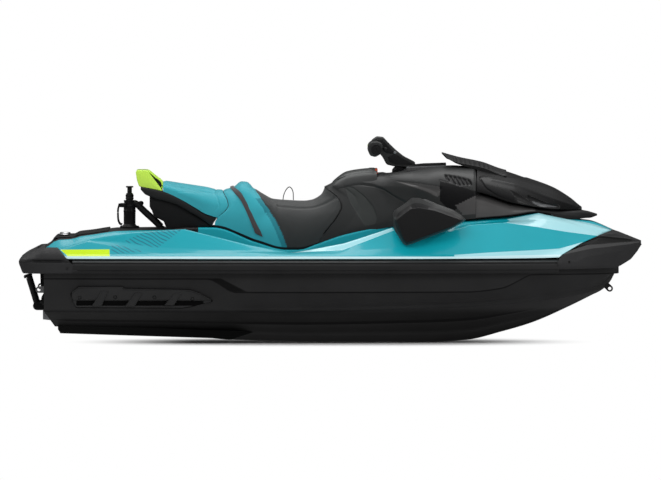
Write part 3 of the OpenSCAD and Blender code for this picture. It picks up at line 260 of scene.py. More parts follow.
def plate(outline, y0, y1, bevel=3.0, n=3, inner_bevel=None, mat=0):
    """A plate with a side-view outline, standing across y from y0 to y1, its edges rounded over bevel.
    Rings shrink towards the outline's middle by bevel (1 - sin t) as they near each face. Returns a
    patch that is ready for make."""
    o = np.array(outline, float)
    c = o.mean(0)
    size = np.abs(o - c).max()
    t = np.linspace(0, np.pi / 2, n + 1)
    way = 1 if y1 > y0 else -1
    inner = bevel if inner_bevel is None else inner_bevel
    fall, rise = 1 - np.cos(t), 1 - np.sin(t)
    ys = np.concatenate([[y0], y0 + way * inner * fall, y1 - way * bevel * fall[::-1], [y1]])
    ks = np.concatenate([[0], 1 - inner / size * rise, 1 - bevel / size * rise[::-1], [0]])
    rings = c + (o - c)[None] * ks[:, None, None]
    return strip(xyz(rings[..., 0], ys[:, None], rings[..., 1]), wrap=True, mat=mat)


def loop_smooth(outline, n=96, r=0.25):
    """A closed outline of n evenly spaced points with rounded corners: each corner is cut back by a
    share r of both legs and bridged by the parabola (1-t)^2 a + 2t(1-t) corner + t^2 b."""
    o = np.array(outline, float)
    a = o + (np.roll(o, 1, 0) - o) * r
    b = o + (np.roll(o, -1, 0) - o) * r
    t = np.linspace(0, 1, 5)[None, :, None]
    q = (a[:, None] * (1 - t) ** 2 + 2 * o[:, None] * t * (1 - t) + b[:, None] * t ** 2).reshape(-1, 2)
    d = np.concatenate([[0], np.cumsum(np.linalg.norm(np.roll(q, -1, 0) - q, axis=1))])
    s = np.linspace(0, d[-1], n, endpoint=False)
    closed = np.concatenate([q, q[:1]])
    return np.stack([np.interp(s, d, closed[:, 0]), np.interp(s, d, closed[:, 1])], 1)


# %% Make a piece
MM = 0.001                                                      # metres in a millimetre
WELD = 0.02                                                     # patches share points nearer than this, mm


def make(name, patches, materials, body, replaces=(), angle=38, outward=True, wall=0.0, mirrored=False):
    """Welds patches of (points, quads, materials) into one mesh in the frame's metres, turns its faces
    outwards, smooths it up to a crease angle and lets it ride on its body. wall is a thickness in mm to
    add inwards, and mirrored adds the patches' mirror images."""
    if mirrored:
        patches = patches + [(mirror(V), F[:, ::-1], M) for V, F, M in patches]
    V, F, M, at = [], [], [], 0
    for v, f, m in patches:
        V.append(v)
        F.append(f + at)
        M.append(m)
        at += len(v)
    V, F, M = np.concatenate(V), np.concatenate(F), np.concatenate(M)
    V = V * MM + [STERN, 0, KEEL]
    mesh = bpy.data.meshes.new(name)
    mesh.from_pydata(V.tolist(), [], F.tolist())
    mesh.polygons.foreach_set("material_index", M.astype(np.int32))
    bm = bmesh.new()
    bm.from_mesh(mesh)
    bmesh.ops.remove_doubles(bm, verts=bm.verts, dist=WELD * MM)
    bmesh.ops.dissolve_degenerate(bm, edges=bm.edges, dist=1e-7)
    bmesh.ops.delete(bm, geom=[v for v in bm.verts if not v.link_faces], context="VERTS")
    if outward:
        bmesh.ops.recalc_face_normals(bm, faces=bm.faces)
    bm.to_mesh(mesh)
    bm.free()
    mesh.shade_smooth()
    mesh.set_sharp_from_angle(angle=math.radians(angle))
    for m in materials:
        mesh.materials.append(m)
    obj = bpy.data.objects.new(name, mesh)
    scene.collection.objects.link(obj)
    if wall:
        s = obj.modifiers.new("wall", "SOLIDIFY")
        s.thickness, s.offset = wall * MM, -1
    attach(obj, body)
    if replaces:
        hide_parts(*([replaces] if isinstance(replaces, str) else replaces))
    print(f"{name}: {len(mesh.polygons)} faces")
    return obj


def from_frame(metres, axis):
    """A frame coordinate in millimetres from the stern (axis x), the centre line (y) or the keel (z)."""
    return (metres - (STERN, 0, KEEL)["xyz".index(axis)]) / MM


# %% [markdown]
# ## Finishes
#
# Every finish is a Principled shader whose colour, roughness and bump come from noise in Object
# coordinates, so that nothing stretches and nothing needs unwrapping. Moulded plastic has a fine
# grain and a slow drift in colour; gelcoat has hardly any grain and a clear coat.

# %% Shader helpers
def node(nt, kind, inputs=None, **props):
    """Adds a node, sets its properties, and links or sets its inputs."""
    n = nt.nodes.new(kind)
    for k, v in props.items():
        setattr(n, k, v)
    for k, v in (inputs or {}).items():
        if isinstance(v, bpy.types.NodeSocket):
            nt.links.new(v, n.inputs[k])
        else:
            n.inputs[k].default_value = v
    return n


def math_node(nt, op, a, b=0.0):
    """The value a op b, where op is the name of a Math node's operation."""
    return node(nt, "ShaderNodeMath", {0: a, 1: b}, operation=op).outputs[0]


def tint(nt, under, over, amount):
    """Lays colour over on colour under by amount, 0 to 1: under + (over - under) amount."""
    return node(nt, "ShaderNodeMix", {0: amount, 6: under, 7: over}, data_type="RGBA").outputs[2]


def rgba(c):
    """A colour with full opacity."""
    return (*c, 1.0)


def grey(level, blue=0.0):
    """A nearly neutral colour: red and green at level, blue a little higher."""
    return (level, level, level + blue)


def place_m(x, z):
    """Side-view millimetres to the frame's metres."""
    return x * MM + STERN, z * MM + KEEL


def inside(nt, co, corners, blur=0.6):
    """1 inside a convex side-view polygon, whose corners run anticlockwise with x to the right and z
    up: the least distance to its edges, turned into a step blur millimetres wide."""
    least = None
    for (x0, z0), (x1, z1) in zip(corners, corners[1:] + corners[:1]):
        (ax, az), (bx, bz) = place_m(x0, z0), place_m(x1, z1)
        n = np.array([-(bz - az), bx - ax])
        n /= np.linalg.norm(n)
        d = node(nt, "ShaderNodeVectorMath", {0: co, 1: (n[0], 0, n[1])}, operation="DOT_PRODUCT")
        d = math_node(nt, "SUBTRACT", d.outputs["Value"], float(n @ [ax, az]))
        least = d if least is None else math_node(nt, "MINIMUM", least, d)
    return node(nt, "ShaderNodeMath", {0: least, 1: 1 / (blur * MM), 2: 0.5}, operation="MULTIPLY_ADD",
                use_clamp=True).outputs[0]


def finish_material(name, colour, rough, drift=0.10, drift_scale=5.0, grain=0.0, grain_scale=900.0,
                    cells=False, metallic=0.0, specular=0.5, coat=0.0, coat_rough=0.06, sheen=0.0,
                    rough_drift=0.06, painted=None, bumped=None, stretch=(1, 1, 1)):
    """A shader with drifting colour and roughness and a grain, grain in millimetres of height.
    painted(nt, co, colour) may lay colours over the first; bumped(nt, co) may give a second height."""
    m = bpy.data.materials.new(name)
    m.use_nodes = True
    nt = m.node_tree
    shader = nt.nodes["Principled BSDF"]
    co = node(nt, "ShaderNodeTexCoord").outputs["Object"]
    slow = node(nt, "ShaderNodeTexNoise", {"Vector": co, "Scale": drift_scale, "Detail": 3.0, "Roughness": 0.6})
    low, high = [rgba([min(1, c * k) for c in colour]) for k in (1 - drift, 1 + drift)]
    base = node(nt, "ShaderNodeValToRGB", {0: slow.outputs[0]})
    base.color_ramp.elements[0].position, base.color_ramp.elements[0].color = 0.3, low
    base.color_ramp.elements[1].position, base.color_ramp.elements[1].color = 0.7, high
    out = base.outputs[0]
    if painted:
        out = painted(nt, co, out)
    nt.links.new(out, shader.inputs["Base Color"])
    r = node(nt, "ShaderNodeMapRange", {"Value": slow.outputs[0], 3: max(0.02, rough - rough_drift),
                                        4: rough + rough_drift})
    nt.links.new(r.outputs[0], shader.inputs["Roughness"])
    height = None
    if grain:
        seat = co
        if stretch != (1, 1, 1):
            seat = node(nt, "ShaderNodeMapping", {"Vector": co, "Scale": stretch}).outputs[0]
        if cells:
            g = node(nt, "ShaderNodeTexVoronoi", {"Vector": seat, "Scale": grain_scale}).outputs["Distance"]
        else:
            g = node(nt, "ShaderNodeTexNoise", {"Vector": seat, "Scale": grain_scale, "Detail": 2.0}).outputs[0]
        height = math_node(nt, "MULTIPLY", g, grain)
    if bumped:
        more = bumped(nt, co)
        height = more if height is None else math_node(nt, "ADD", height, more)
    if height is not None:
        b = node(nt, "ShaderNodeBump", {"Height": height, "Strength": 1.0, "Distance": 0.001})
        nt.links.new(b.outputs[0], shader.inputs["Normal"])
    shader.inputs["Metallic"].default_value = metallic
    shader.inputs["Specular IOR Level"].default_value = specular
    shader.inputs["Coat Weight"].default_value = coat
    shader.inputs["Coat Roughness"].default_value = coat_rough
    shader.inputs["Sheen Weight"].default_value = sheen
    return m


def wave_height(nt, co, scale, depth, direction):
    """Ridges depth millimetres high, from a sine wave along one axis."""
    w = node(nt, "ShaderNodeTexWave", {"Vector": co, "Scale": scale, "Distortion": 0.0}, wave_type="BANDS",
             bands_direction=direction)
    return math_node(nt, "MULTIPLY", w.outputs[1], depth)


# %% The finishes of this craft
TEAL = (0.004, 0.325, 0.395)
PALE = (0.33, 0.66, 0.72)
FLANGE_REFLECTION = (0.56, 0.80, 0.84)
DEEP_TEAL = (0.006, 0.17, 0.23)
FLASH = (0.55, 0.80, 0.0)


def deck_paint(nt, co, colour):
    """A lime flash on the quarter and thin waves of darker teal beside it; the pale upper facets, a painted
    highlight, are faces given the pale finish instead.
    """
    wave = node(nt, "ShaderNodeTexWave", {"Vector": co, "Scale": 19.0, "Distortion": 4.0, "Detail": 1.0,
                                          "Detail Scale": 0.6}, wave_type="BANDS", bands_direction="DIAGONAL")
    thin = math_node(nt, "GREATER_THAN", wave.outputs[1], 0.72)
    for c in ([(515, 500), (700, 513), (560, 548), (420, 566), (515, 520)],
              [(575, 566), (768, 533), (905, 634), (700, 622)]):
        zone = inside(nt, co, c, 4)
        colour = tint(nt, colour, rgba(DEEP_TEAL), math_node(nt, "MULTIPLY", zone, thin))
    flash = inside(nt, co, [(275, 488), (506, 488), (504, 526), (231, 524)])
    return tint(nt, colour, rgba(FLASH), flash)


def groove_map(nt, co):
    """Diamond grooves of the traction mats: two slanted waves, the lower one showing."""
    waves = []
    for slant in (0.6, -0.6):
        seat = node(nt, "ShaderNodeMapping", {"Vector": co, "Rotation": (0, 0, slant)}).outputs[0]
        waves.append(node(nt, "ShaderNodeTexWave", {"Vector": seat, "Scale": 9.0}).outputs[1])
    return math_node(nt, "MULTIPLY", math_node(nt, "MINIMUM", *waves), 1.6)


def weave(nt, co):
    """Webbing: ribs across and a finer rib along."""
    return math_node(nt, "ADD", wave_height(nt, co, 95, 0.5, "Z"), wave_height(nt, co, 160, 0.25, "Y"))


def hull_dark_bottom_and_shade(nt, co, colour):
    """Near black below the chine, and painted shade in the two long shadows under the knuckle and behind the
    sponson.
    """
    z = node(nt, "ShaderNodeSeparateXYZ", {0: co}).outputs[2]
    low = node(nt, "ShaderNodeMapRange", {"Value": z, 1: KEEL + 0.170, 2: KEEL + 0.195, 3: 1.0,
                                          4: 0.0}).outputs[0]
    colour = tint(nt, colour, rgba((0.0032, 0.0032, 0.0034)), low)
    # painted shade: a wedge where the knuckle steps down, and a thin line under the knuckle
    for c in ([(1180, 292), (1262, 292), (1118, 366), (1052, 366)],
              [(160, 361), (1056, 361), (1054, 366), (160, 366)]):
        colour = tint(nt, colour, rgba((0.0036, 0.0036, 0.0038)), inside(nt, co, c, 2))
    return colour


# Each row: name, base colour, roughness, and what differs from finish_material's own defaults.
FINISHES = {
    "hull": ("charcoal moulding", grey(0.017, 0.0005), 0.42, dict(grain=0.05, grain_scale=700, specular=0.28,
        painted=hull_dark_bottom_and_shade)),
    "hull_dark": ("charcoal moulding, shaded panel", grey(0.0055, 0.0005), 0.45, dict(grain=0.05,
        grain_scale=700, specular=0.22)),
    "deck": ("teal gelcoat", TEAL, 0.24, dict(drift=0.05, drift_scale=2.0, grain=0.015, grain_scale=1500,
        specular=0.3, coat=0.32, coat_rough=0.05, painted=deck_paint)),
    # painted highlight: a paler copy of the teal gelcoat for the deck's facets that face the sky
    "pale": ("ice gelcoat", PALE, 0.24, dict(drift=0.05, drift_scale=2.0, grain=0.015, grain_scale=1500,
        coat=0.7, coat_rough=0.05)),
    # painted reflection: the gunwale flange is coloured pale as the sky's reflection in it
    "white": ("white gunwale line", FLANGE_REFLECTION, 0.25, dict(drift=0.03, grain=0.015, grain_scale=1500, coat=0.7)),
    "bumper": ("grained bumper", grey(0.021, 0.001), 0.48, dict(grain=0.3, grain_scale=1100, cells=True,
        specular=0.32)),
    # painted highlight: a lighter copy of the bumper finish for one facet of the bow bumper
    "bumper_highlight": ("grained bumper, upper facet", grey(0.055, 0.001), 0.5, dict(grain=0.3, grain_scale=1100,
        cells=True, specular=0.32)),
    "rail": ("rail rubber", grey(0.013, 0.0005), 0.55, dict(grain=0.12, grain_scale=800, specular=0.35)),
    # painted highlight: a lighter copy of the rail rubber for the bead along the rail's top
    "rail_lip": ("rail lip", (0.035, 0.038, 0.039), 0.4, dict(grain=0.05, specular=0.5)),
    "black": ("grained black plastic", grey(0.0085, 0.0005), 0.44, dict(grain=0.2, grain_scale=1000, cells=True,
        specular=0.36)),
    "trough": ("shaded recess", grey(0.0022, 0.0001), 0.8, dict(grain=0.2, specular=0.08)),
    "sponson": ("sponson plastic", grey(0.02, 0.0005), 0.40, dict(grain=0.2, grain_scale=1000, cells=True,
        specular=0.34)),
    "grey": ("satin dark trim", (0.014, 0.0145, 0.015), 0.40, dict(grain=0.15, grain_scale=900, specular=0.45)),
    "console": ("satin dark plastic", (0.025, 0.026, 0.026), 0.36, dict(grain=0.12, grain_scale=900,
        specular=0.35)),
    "leaf": ("lighter satin panel", (0.028, 0.031, 0.030), 0.36, dict(grain=0.12, grain_scale=900,
        specular=0.5)),
    "hood": ("cover gelcoat", (0.0065, 0.0066, 0.007), 0.27, dict(grain=0.05, grain_scale=900, specular=0.22,
        coat=0.06)),
    "gloss": ("gloss grey panel", (0.060, 0.058, 0.058), 0.32, dict(grain=0.03, specular=0.35, coat=0.1)),
    "lime": ("gloss lime plastic", (0.52, 0.80, 0.08), 0.28, dict(drift=0.05, grain=0.04, coat=0.4)),
    "mat": ("grooved foam", grey(0.011, 0.0005), 0.8, dict(grain=0.3, grain_scale=1500, bumped=groove_map,
        specular=0.25)),
    "seat": ("dark seat vinyl", (0.031, 0.033, 0.033), 0.5, dict(drift=0.08, grain=0.5, grain_scale=650,
        cells=True, specular=0.35, sheen=0.15)),
    "seat_teal": ("teal seat vinyl", (0.024, 0.345, 0.415), 0.44, dict(drift=0.06, grain=0.4, grain_scale=700,
        cells=True, specular=0.4, sheen=0.1)),
    "seat_shade": ("shaded teal vinyl", (0.008, 0.20, 0.25), 0.48, dict(drift=0.06, grain=0.4, grain_scale=700,
        cells=True, specular=0.4)),
    # also painted shade: the driver's seat foot strip and the bow bumper's scoop
    "piping": ("black piping", grey(0.006), 0.45, dict(grain=0.1, specular=0.4)),
    "strap": ("brown-grey webbing", (0.060, 0.050, 0.052), 0.75, dict(bumped=weave, specular=0.2, sheen=0.3)),
    "webbing": ("black webbing", grey(0.006, 0.0005), 0.75, dict(bumped=weave, specular=0.2, sheen=0.2)),
    "screen": ("instrument glass", (0.008, 0.010, 0.012), 0.08, dict(drift=0.2, specular=0.5, coat=0.8,
        rough_drift=0.02)),
    "steel": ("bare stainless", grey(0.62, 0.01), 0.22, dict(drift=0.05, metallic=1.0, grain=0.08,
        grain_scale=900, stretch=(1, 14, 14))),
    "alloy": ("cast alloy", (0.34, 0.35, 0.36), 0.45, dict(drift=0.1, metallic=0.8, grain=0.5,
        grain_scale=420)),
    "engine": ("engine casting", grey(0.16, 0.01), 0.6, dict(drift=0.15, metallic=0.5, grain=0.6,
        grain_scale=260)),
    "tube": ("black powder coat", grey(0.012, 0.0005), 0.42, dict(grain=0.2, grain_scale=1300, specular=0.4)),
    "grip": ("grip rubber", grey(0.008, 0.0005), 0.7, dict(grain=0.3, grain_scale=1200, specular=0.3)),
    "orange": ("orange-red latch", (0.55, 0.07, 0.02), 0.35, dict(drift=0.06, grain=0.05, coat=0.2)),
    "lamp": ("clear lens", (0.085, 0.088, 0.092), 0.15, dict(drift=0.1, specular=0.4, coat=0.25)),
}
M = {key: finish_material(*row[:3], **row[3]) for key, row in FINISHES.items()}
print(len(M), "finishes")

# %% [markdown]
# ## Floor, light and camera
#
# The craft stands on a pale floor that fades into a white backdrop. Broad soft panels light it from
# above and from the side, and a long lens on the starboard beam keeps its lines nearly parallel.

# %% Floor and world
def white_floor():
    """A plain sheet under the keel: lit and shadowed near the craft, plain white further out."""
    mesh = bpy.data.meshes.new("floor")
    half = 30
    corners = [(-half, -half, KEEL), (half, -half, KEEL), (half, half, KEEL), (-half, half, KEEL)]
    mesh.from_pydata(corners, [], [(0, 1, 2, 3)])
    floor = bpy.data.objects.new("floor", mesh)
    scene.collection.objects.link(floor)
    m = bpy.data.materials.new("pale floor")
    m.use_nodes = True
    nt = m.node_tree
    shader = nt.nodes["Principled BSDF"]
    shader.inputs["Roughness"].default_value = 0.9
    shader.inputs["Specular IOR Level"].default_value = 0.0
    co = node(nt, "ShaderNodeTexCoord").outputs["Object"]
    speck = node(nt, "ShaderNodeTexNoise", {"Vector": co, "Scale": 40.0})
    tone = node(nt, "ShaderNodeMapRange", {"Value": speck.outputs[0], 3: 0.90, 4: 0.94})
    nt.links.new(tone.outputs[0], shader.inputs["Base Color"])
    scaled = node(nt, "ShaderNodeVectorMath", {0: co, 1: (0.67, 0.72, 0)}, operation="MULTIPLY").outputs[0]
    length = node(nt, "ShaderNodeVectorMath", {0: scaled}, operation="LENGTH")
    fade = node(nt, "ShaderNodeMapRange", {"Value": length.outputs["Value"], 1: 0.50, 2: 1.0, 3: 0.0, 4: 1.0},
                interpolation_type="SMOOTHSTEP")
    glow = node(nt, "ShaderNodeEmission", {"Color": (1, 1, 1, 1), "Strength": 1.0})
    mixed = node(nt, "ShaderNodeMixShader", {0: fade.outputs[0], 1: shader.outputs[0], 2: glow.outputs[0]})
    dim = node(nt, "ShaderNodeEmission", {"Color": (1, 1, 1, 1), "Strength": 0.10})
    path = node(nt, "ShaderNodeLightPath")
    last = node(nt, "ShaderNodeMixShader", {0: path.outputs["Is Glossy Ray"], 1: mixed.outputs[0],
                                            2: dim.outputs[0]})
    nt.links.new(last.outputs[0], nt.nodes["Material Output"].inputs[0])
    mesh.materials.append(m)


def white_world(diffuse=0.62):
    """White to the camera and through glass, dimmer as a light, and in reflections a studio that is dim at
    the horizon and bright overhead, so that upper facets shine and walls stay dark."""
    world = bpy.data.worlds.new("studio")
    scene.world = world
    world.use_nodes = True
    nt = world.node_tree
    path = node(nt, "ShaderNodeLightPath")
    seen = math_node(nt, "MAXIMUM", path.outputs["Is Camera Ray"], path.outputs["Is Transmission Ray"])
    up = node(nt, "ShaderNodeSeparateXYZ", {0: node(nt, "ShaderNodeTexCoord").outputs["Generated"]}).outputs[2]
    studio = node(nt, "ShaderNodeMapRange", {"Value": up, 1: 0.45, 2: 1.0, 3: 0.10, 4: 0.95},
                  interpolation_type="SMOOTHSTEP")
    other = node(nt, "ShaderNodeMix", {0: path.outputs["Is Glossy Ray"], 2: diffuse, 3: studio.outputs[0]},
                 data_type="FLOAT")
    level = node(nt, "ShaderNodeMix", {0: seen, 2: other.outputs[0], 3: 1.0}, data_type="FLOAT")
    back = nt.nodes["Background"]
    back.inputs[0].default_value = (1, 1, 1, 1)
    nt.links.new(level.outputs[0], back.inputs[1])


def panel(name, at, aim, size, watts, mirrored=True):
    """A rectangular soft light at a point, facing another; mirrored says whether glossy surfaces show it."""
    light = bpy.data.lights.new(name, "AREA")
    light.shape, light.size, light.size_y, light.energy = "RECTANGLE", size[0], size[1], watts
    obj = bpy.data.objects.new(name, light)
    scene.collection.objects.link(obj)
    d = np.array(aim, float) - np.array(at, float)
    obj.location = at
    obj.visible_glossy = mirrored
    obj.rotation_euler = Vector(d).to_track_quat("-Z", "Y").to_euler()


white_floor()
white_world()
panel("overhead", (0.0, 0.3, 3.6), (0, 0, 0.3), (4.5, 1.6), 55)
panel("starboard", (-0.6, -4.2, 3.0), (0, 0, 0.3), (4.0, 1.5), 70, mirrored=False)
panel("bow", (4.2, -2.6, 2.0), (0.8, 0, 0.3), (1.6, 1.6), 22)
panel("stern", (-4.4, 1.2, 2.4), (-0.8, 0, 0.3), (1.6, 1.6), 18)

# %% Camera
LENS, SENSOR, VIEW_WIDTH = 1100.0, 36.0, 3.669
TILT = math.radians(1.2)
AIM = np.array([STERN + 1.725, 0.0, KEEL + 0.566])
camera_data = bpy.data.cameras.new("beam view")
camera_data.lens, camera_data.sensor_width = LENS, SENSOR
camera = bpy.data.objects.new("beam view", camera_data)
scene.collection.objects.link(camera)
back = np.array([0, -math.cos(TILT), math.sin(TILT)])
camera.location = AIM + back * VIEW_WIDTH * LENS / SENSOR
camera.rotation_euler = (math.pi / 2 - TILT, 0, 0)
camera_data.clip_start, camera_data.clip_end = 5, 400
scene.camera = camera
scene.view_settings.view_transform = "Standard"
print("camera", [round(v, 2) for v in camera.location])

# %% [markdown]
# ## The boat's lines
#
# The plan of the gunwale, the keel, the chine and the knuckle fix the whole lower body. They are the
# same lines that the frame was built from, here read at many more stations so that the skin is fair.

# %% Plan and profile lines
CORNER, PULL_IN = 150, 110                                      # the stern's rounded corners: reach and depth


def ellipse_corner(x):
    """How far the stern's rounded corners pull in: 110 (1 - sqrt(1 - ((150 - x) / 150)^2))."""
    t = (CORNER - x) / CORNER
    return np.where(x < CORNER, PULL_IN * (1 - np.sqrt(np.maximum(0, 1 - t ** 2))), 0)


stern_plan = curve((0, 560), (150, 575), (800, 612), (1400, 625))


def rail_y(x):
    """Half breadth over the rails: fair to x = 1400, then 625 (1 - ((x - 1400) / 2050)^2.6)^(1/1.6)."""
    x = np.asarray(x, float)
    fore = 625 * np.maximum(0, 1 - np.clip((x - 1400) / 2050, 0, 1) ** 2.6) ** (1 / 1.6)
    return np.where(x < 1400, stern_plan(x) - ellipse_corner(x), fore)


def edge_y(x):
    """Half breadth of the deck's outer edge: 0.98 of the rail's."""
    return 0.98 * rail_y(x)


keel = curve((141, 52), (655, 37), (1066, 17), (1700, 0), (2270, 0), (2480, 12), (2685, 61), (2847, 110),
             (3052, 200), (3175, 261), (3232, 290), (3280, 340), (3310, 400), (3320, 418))
chine_height = curve((141, 183), (1500, 183), (2275, 203), (2685, 224), (3215, 296), (3320, 440))
chine_breadth = curve((141, 500), (600, 520), (1400, 525), (2000, 500), (2400, 440), (2700, 355), (2950, 240),
                      (3150, 115), (3232, 60), (3320, 14))
stem_breadth = curve((2700, 462), (2950, 362), (3100, 275), (3200, 190), (3280, 95), (3320, 26))
knuckle_height = curve((141, 366), (1040, 366), (1060, 363), (1195, 293), (1215, 291), (2480, 292), (2660, 310),
                       (2880, 400), (3320, 445))
TRANSOM, STEM, SEAM, RAIL_LOW = 141, 3320, 466, 391


def top_y(x):
    """Half breadth of the hull's flange: 40.3 inside the rail's, and no more than the stem's forward."""
    return np.minimum(rail_y(x) - 40.3, np.where(x < 2700, 1000, stem_breadth(x)))


def knuckle_z(x):
    """Height of the knuckle: its own curve, kept 5 below the rail."""
    return np.minimum(RAIL_LOW - 5, knuckle_height(x))


def chine_y(x):
    """Half breadth of the chine: its own curve, kept 8 inside the flange."""
    return np.minimum(chine_breadth(x), top_y(x) - 8)


def chine_z(x):
    """Height of the chine: its own curve, kept 6 above the keel."""
    return np.maximum(chine_height(x), keel(x) + 6)


def vee_z(x, y):
    """The bottom's V: a straight line from the keel to just under the chine."""
    return mix(keel(x), chine_z(x) - 5, np.abs(y) / chine_y(x))


def flank_y(x, z):
    """Half breadth of the side: a straight line in z from the chine to 5 inside the knuckle."""
    low = chine_z(x)
    return mix(chine_y(x), top_y(x) - 5, (z - low) / (knuckle_z(x) - 4 - low))


# %% [markdown]
# ## Hull
#
# The hull is a V-bottomed moulding: a flat keel, two spray strakes that step down on each side, a
# chine flat, a side and a knuckle under the rail. It is drawn as one half section of rows carried
# along the stations and mirrored, with fillets at the rows. The bottom is left open over the pump's
# tunnel and over the water intake, whose walls are further patches of the same mesh.

# %% Hull skin
def rake(z):
    """How far the stern leans forward at height z: 0 at the chine, 183, and 90 at 149 below it."""
    return 90 * np.clip((183 - z) / 149, 0, 1)


def hull_rows(x):
    """Half section at each station, flange first and keel last. Returns points P[station, row]."""
    t, c = top_y(x), chine_y(x)
    kz, cz = knuckle_z(x), chine_z(x)
    step = 9 * ease(141, 260, x) * (1 - ease(2500, 2950, x))
    aft = 1 - ease(1172, 1330, x)
    y7 = mix(0.30 * c, np.minimum(150, 0.5 * c), aft)
    y8 = mix(0.26 * c, np.minimum(95, 0.4 * c), aft)
    flat = np.minimum(np.maximum(c - 14, 0.972 * c), c - 1)
    inset = np.minimum(9, 0.02 * c + 4)
    drop = 7
    rows = [
        (t, SEAM), (t, np.maximum(kz + 3, 395)), (t - 2, kz), (t - inset, kz - drop),
        (mix(t - inset, c, 0.55), mix(kz - drop, cz, 0.55)), (c + 4, cz + 16), (c, cz),
        (flat, vee_z(x, flat) + 1),
        (0.66 * c, vee_z(x, 0.66 * c)), (0.62 * c, vee_z(x, 0.62 * c) - step), (0.57 * c, vee_z(x, 0.57 * c)),
        (mix(0.57 * c, y7, 0.5), vee_z(x, mix(0.57 * c, y7, 0.5))),
        (y7, vee_z(x, y7) - 0.6 * step * (1 - aft)), (y8, vee_z(x, y8)),
        (0.12 * c, vee_z(x, 0.12 * c)), (np.minimum(14, 0.08 * c), keel(x) + 1), (0.5, keel(x))]
    y, z = (np.stack([np.broadcast_to(row[i], x.shape) for row in rows], 1) for i in (0, 1))
    lean = rake(z[:1]) * np.clip(1 - (x[:, None] - TRANSOM) / 300, 0, 1)
    return xyz(x[:, None] + lean, -y, z)


HULL_RADII = [0, 3, 5, 4, 0, 3, 5, 4, 4, 4, 4, 0, 0, 0, 0, 4, 0]
TUNNEL, ROOF, TUNNEL_END = 150, 350, 761                        # the pump's tunnel: half breadth, top, end
INTAKE, INTAKE_HALF = (781, 1171), 95                           # the water intake in the bottom
PUMP_MOUTH = (762, 175, 80)                                     # x, height and radius of the pump's round mouth


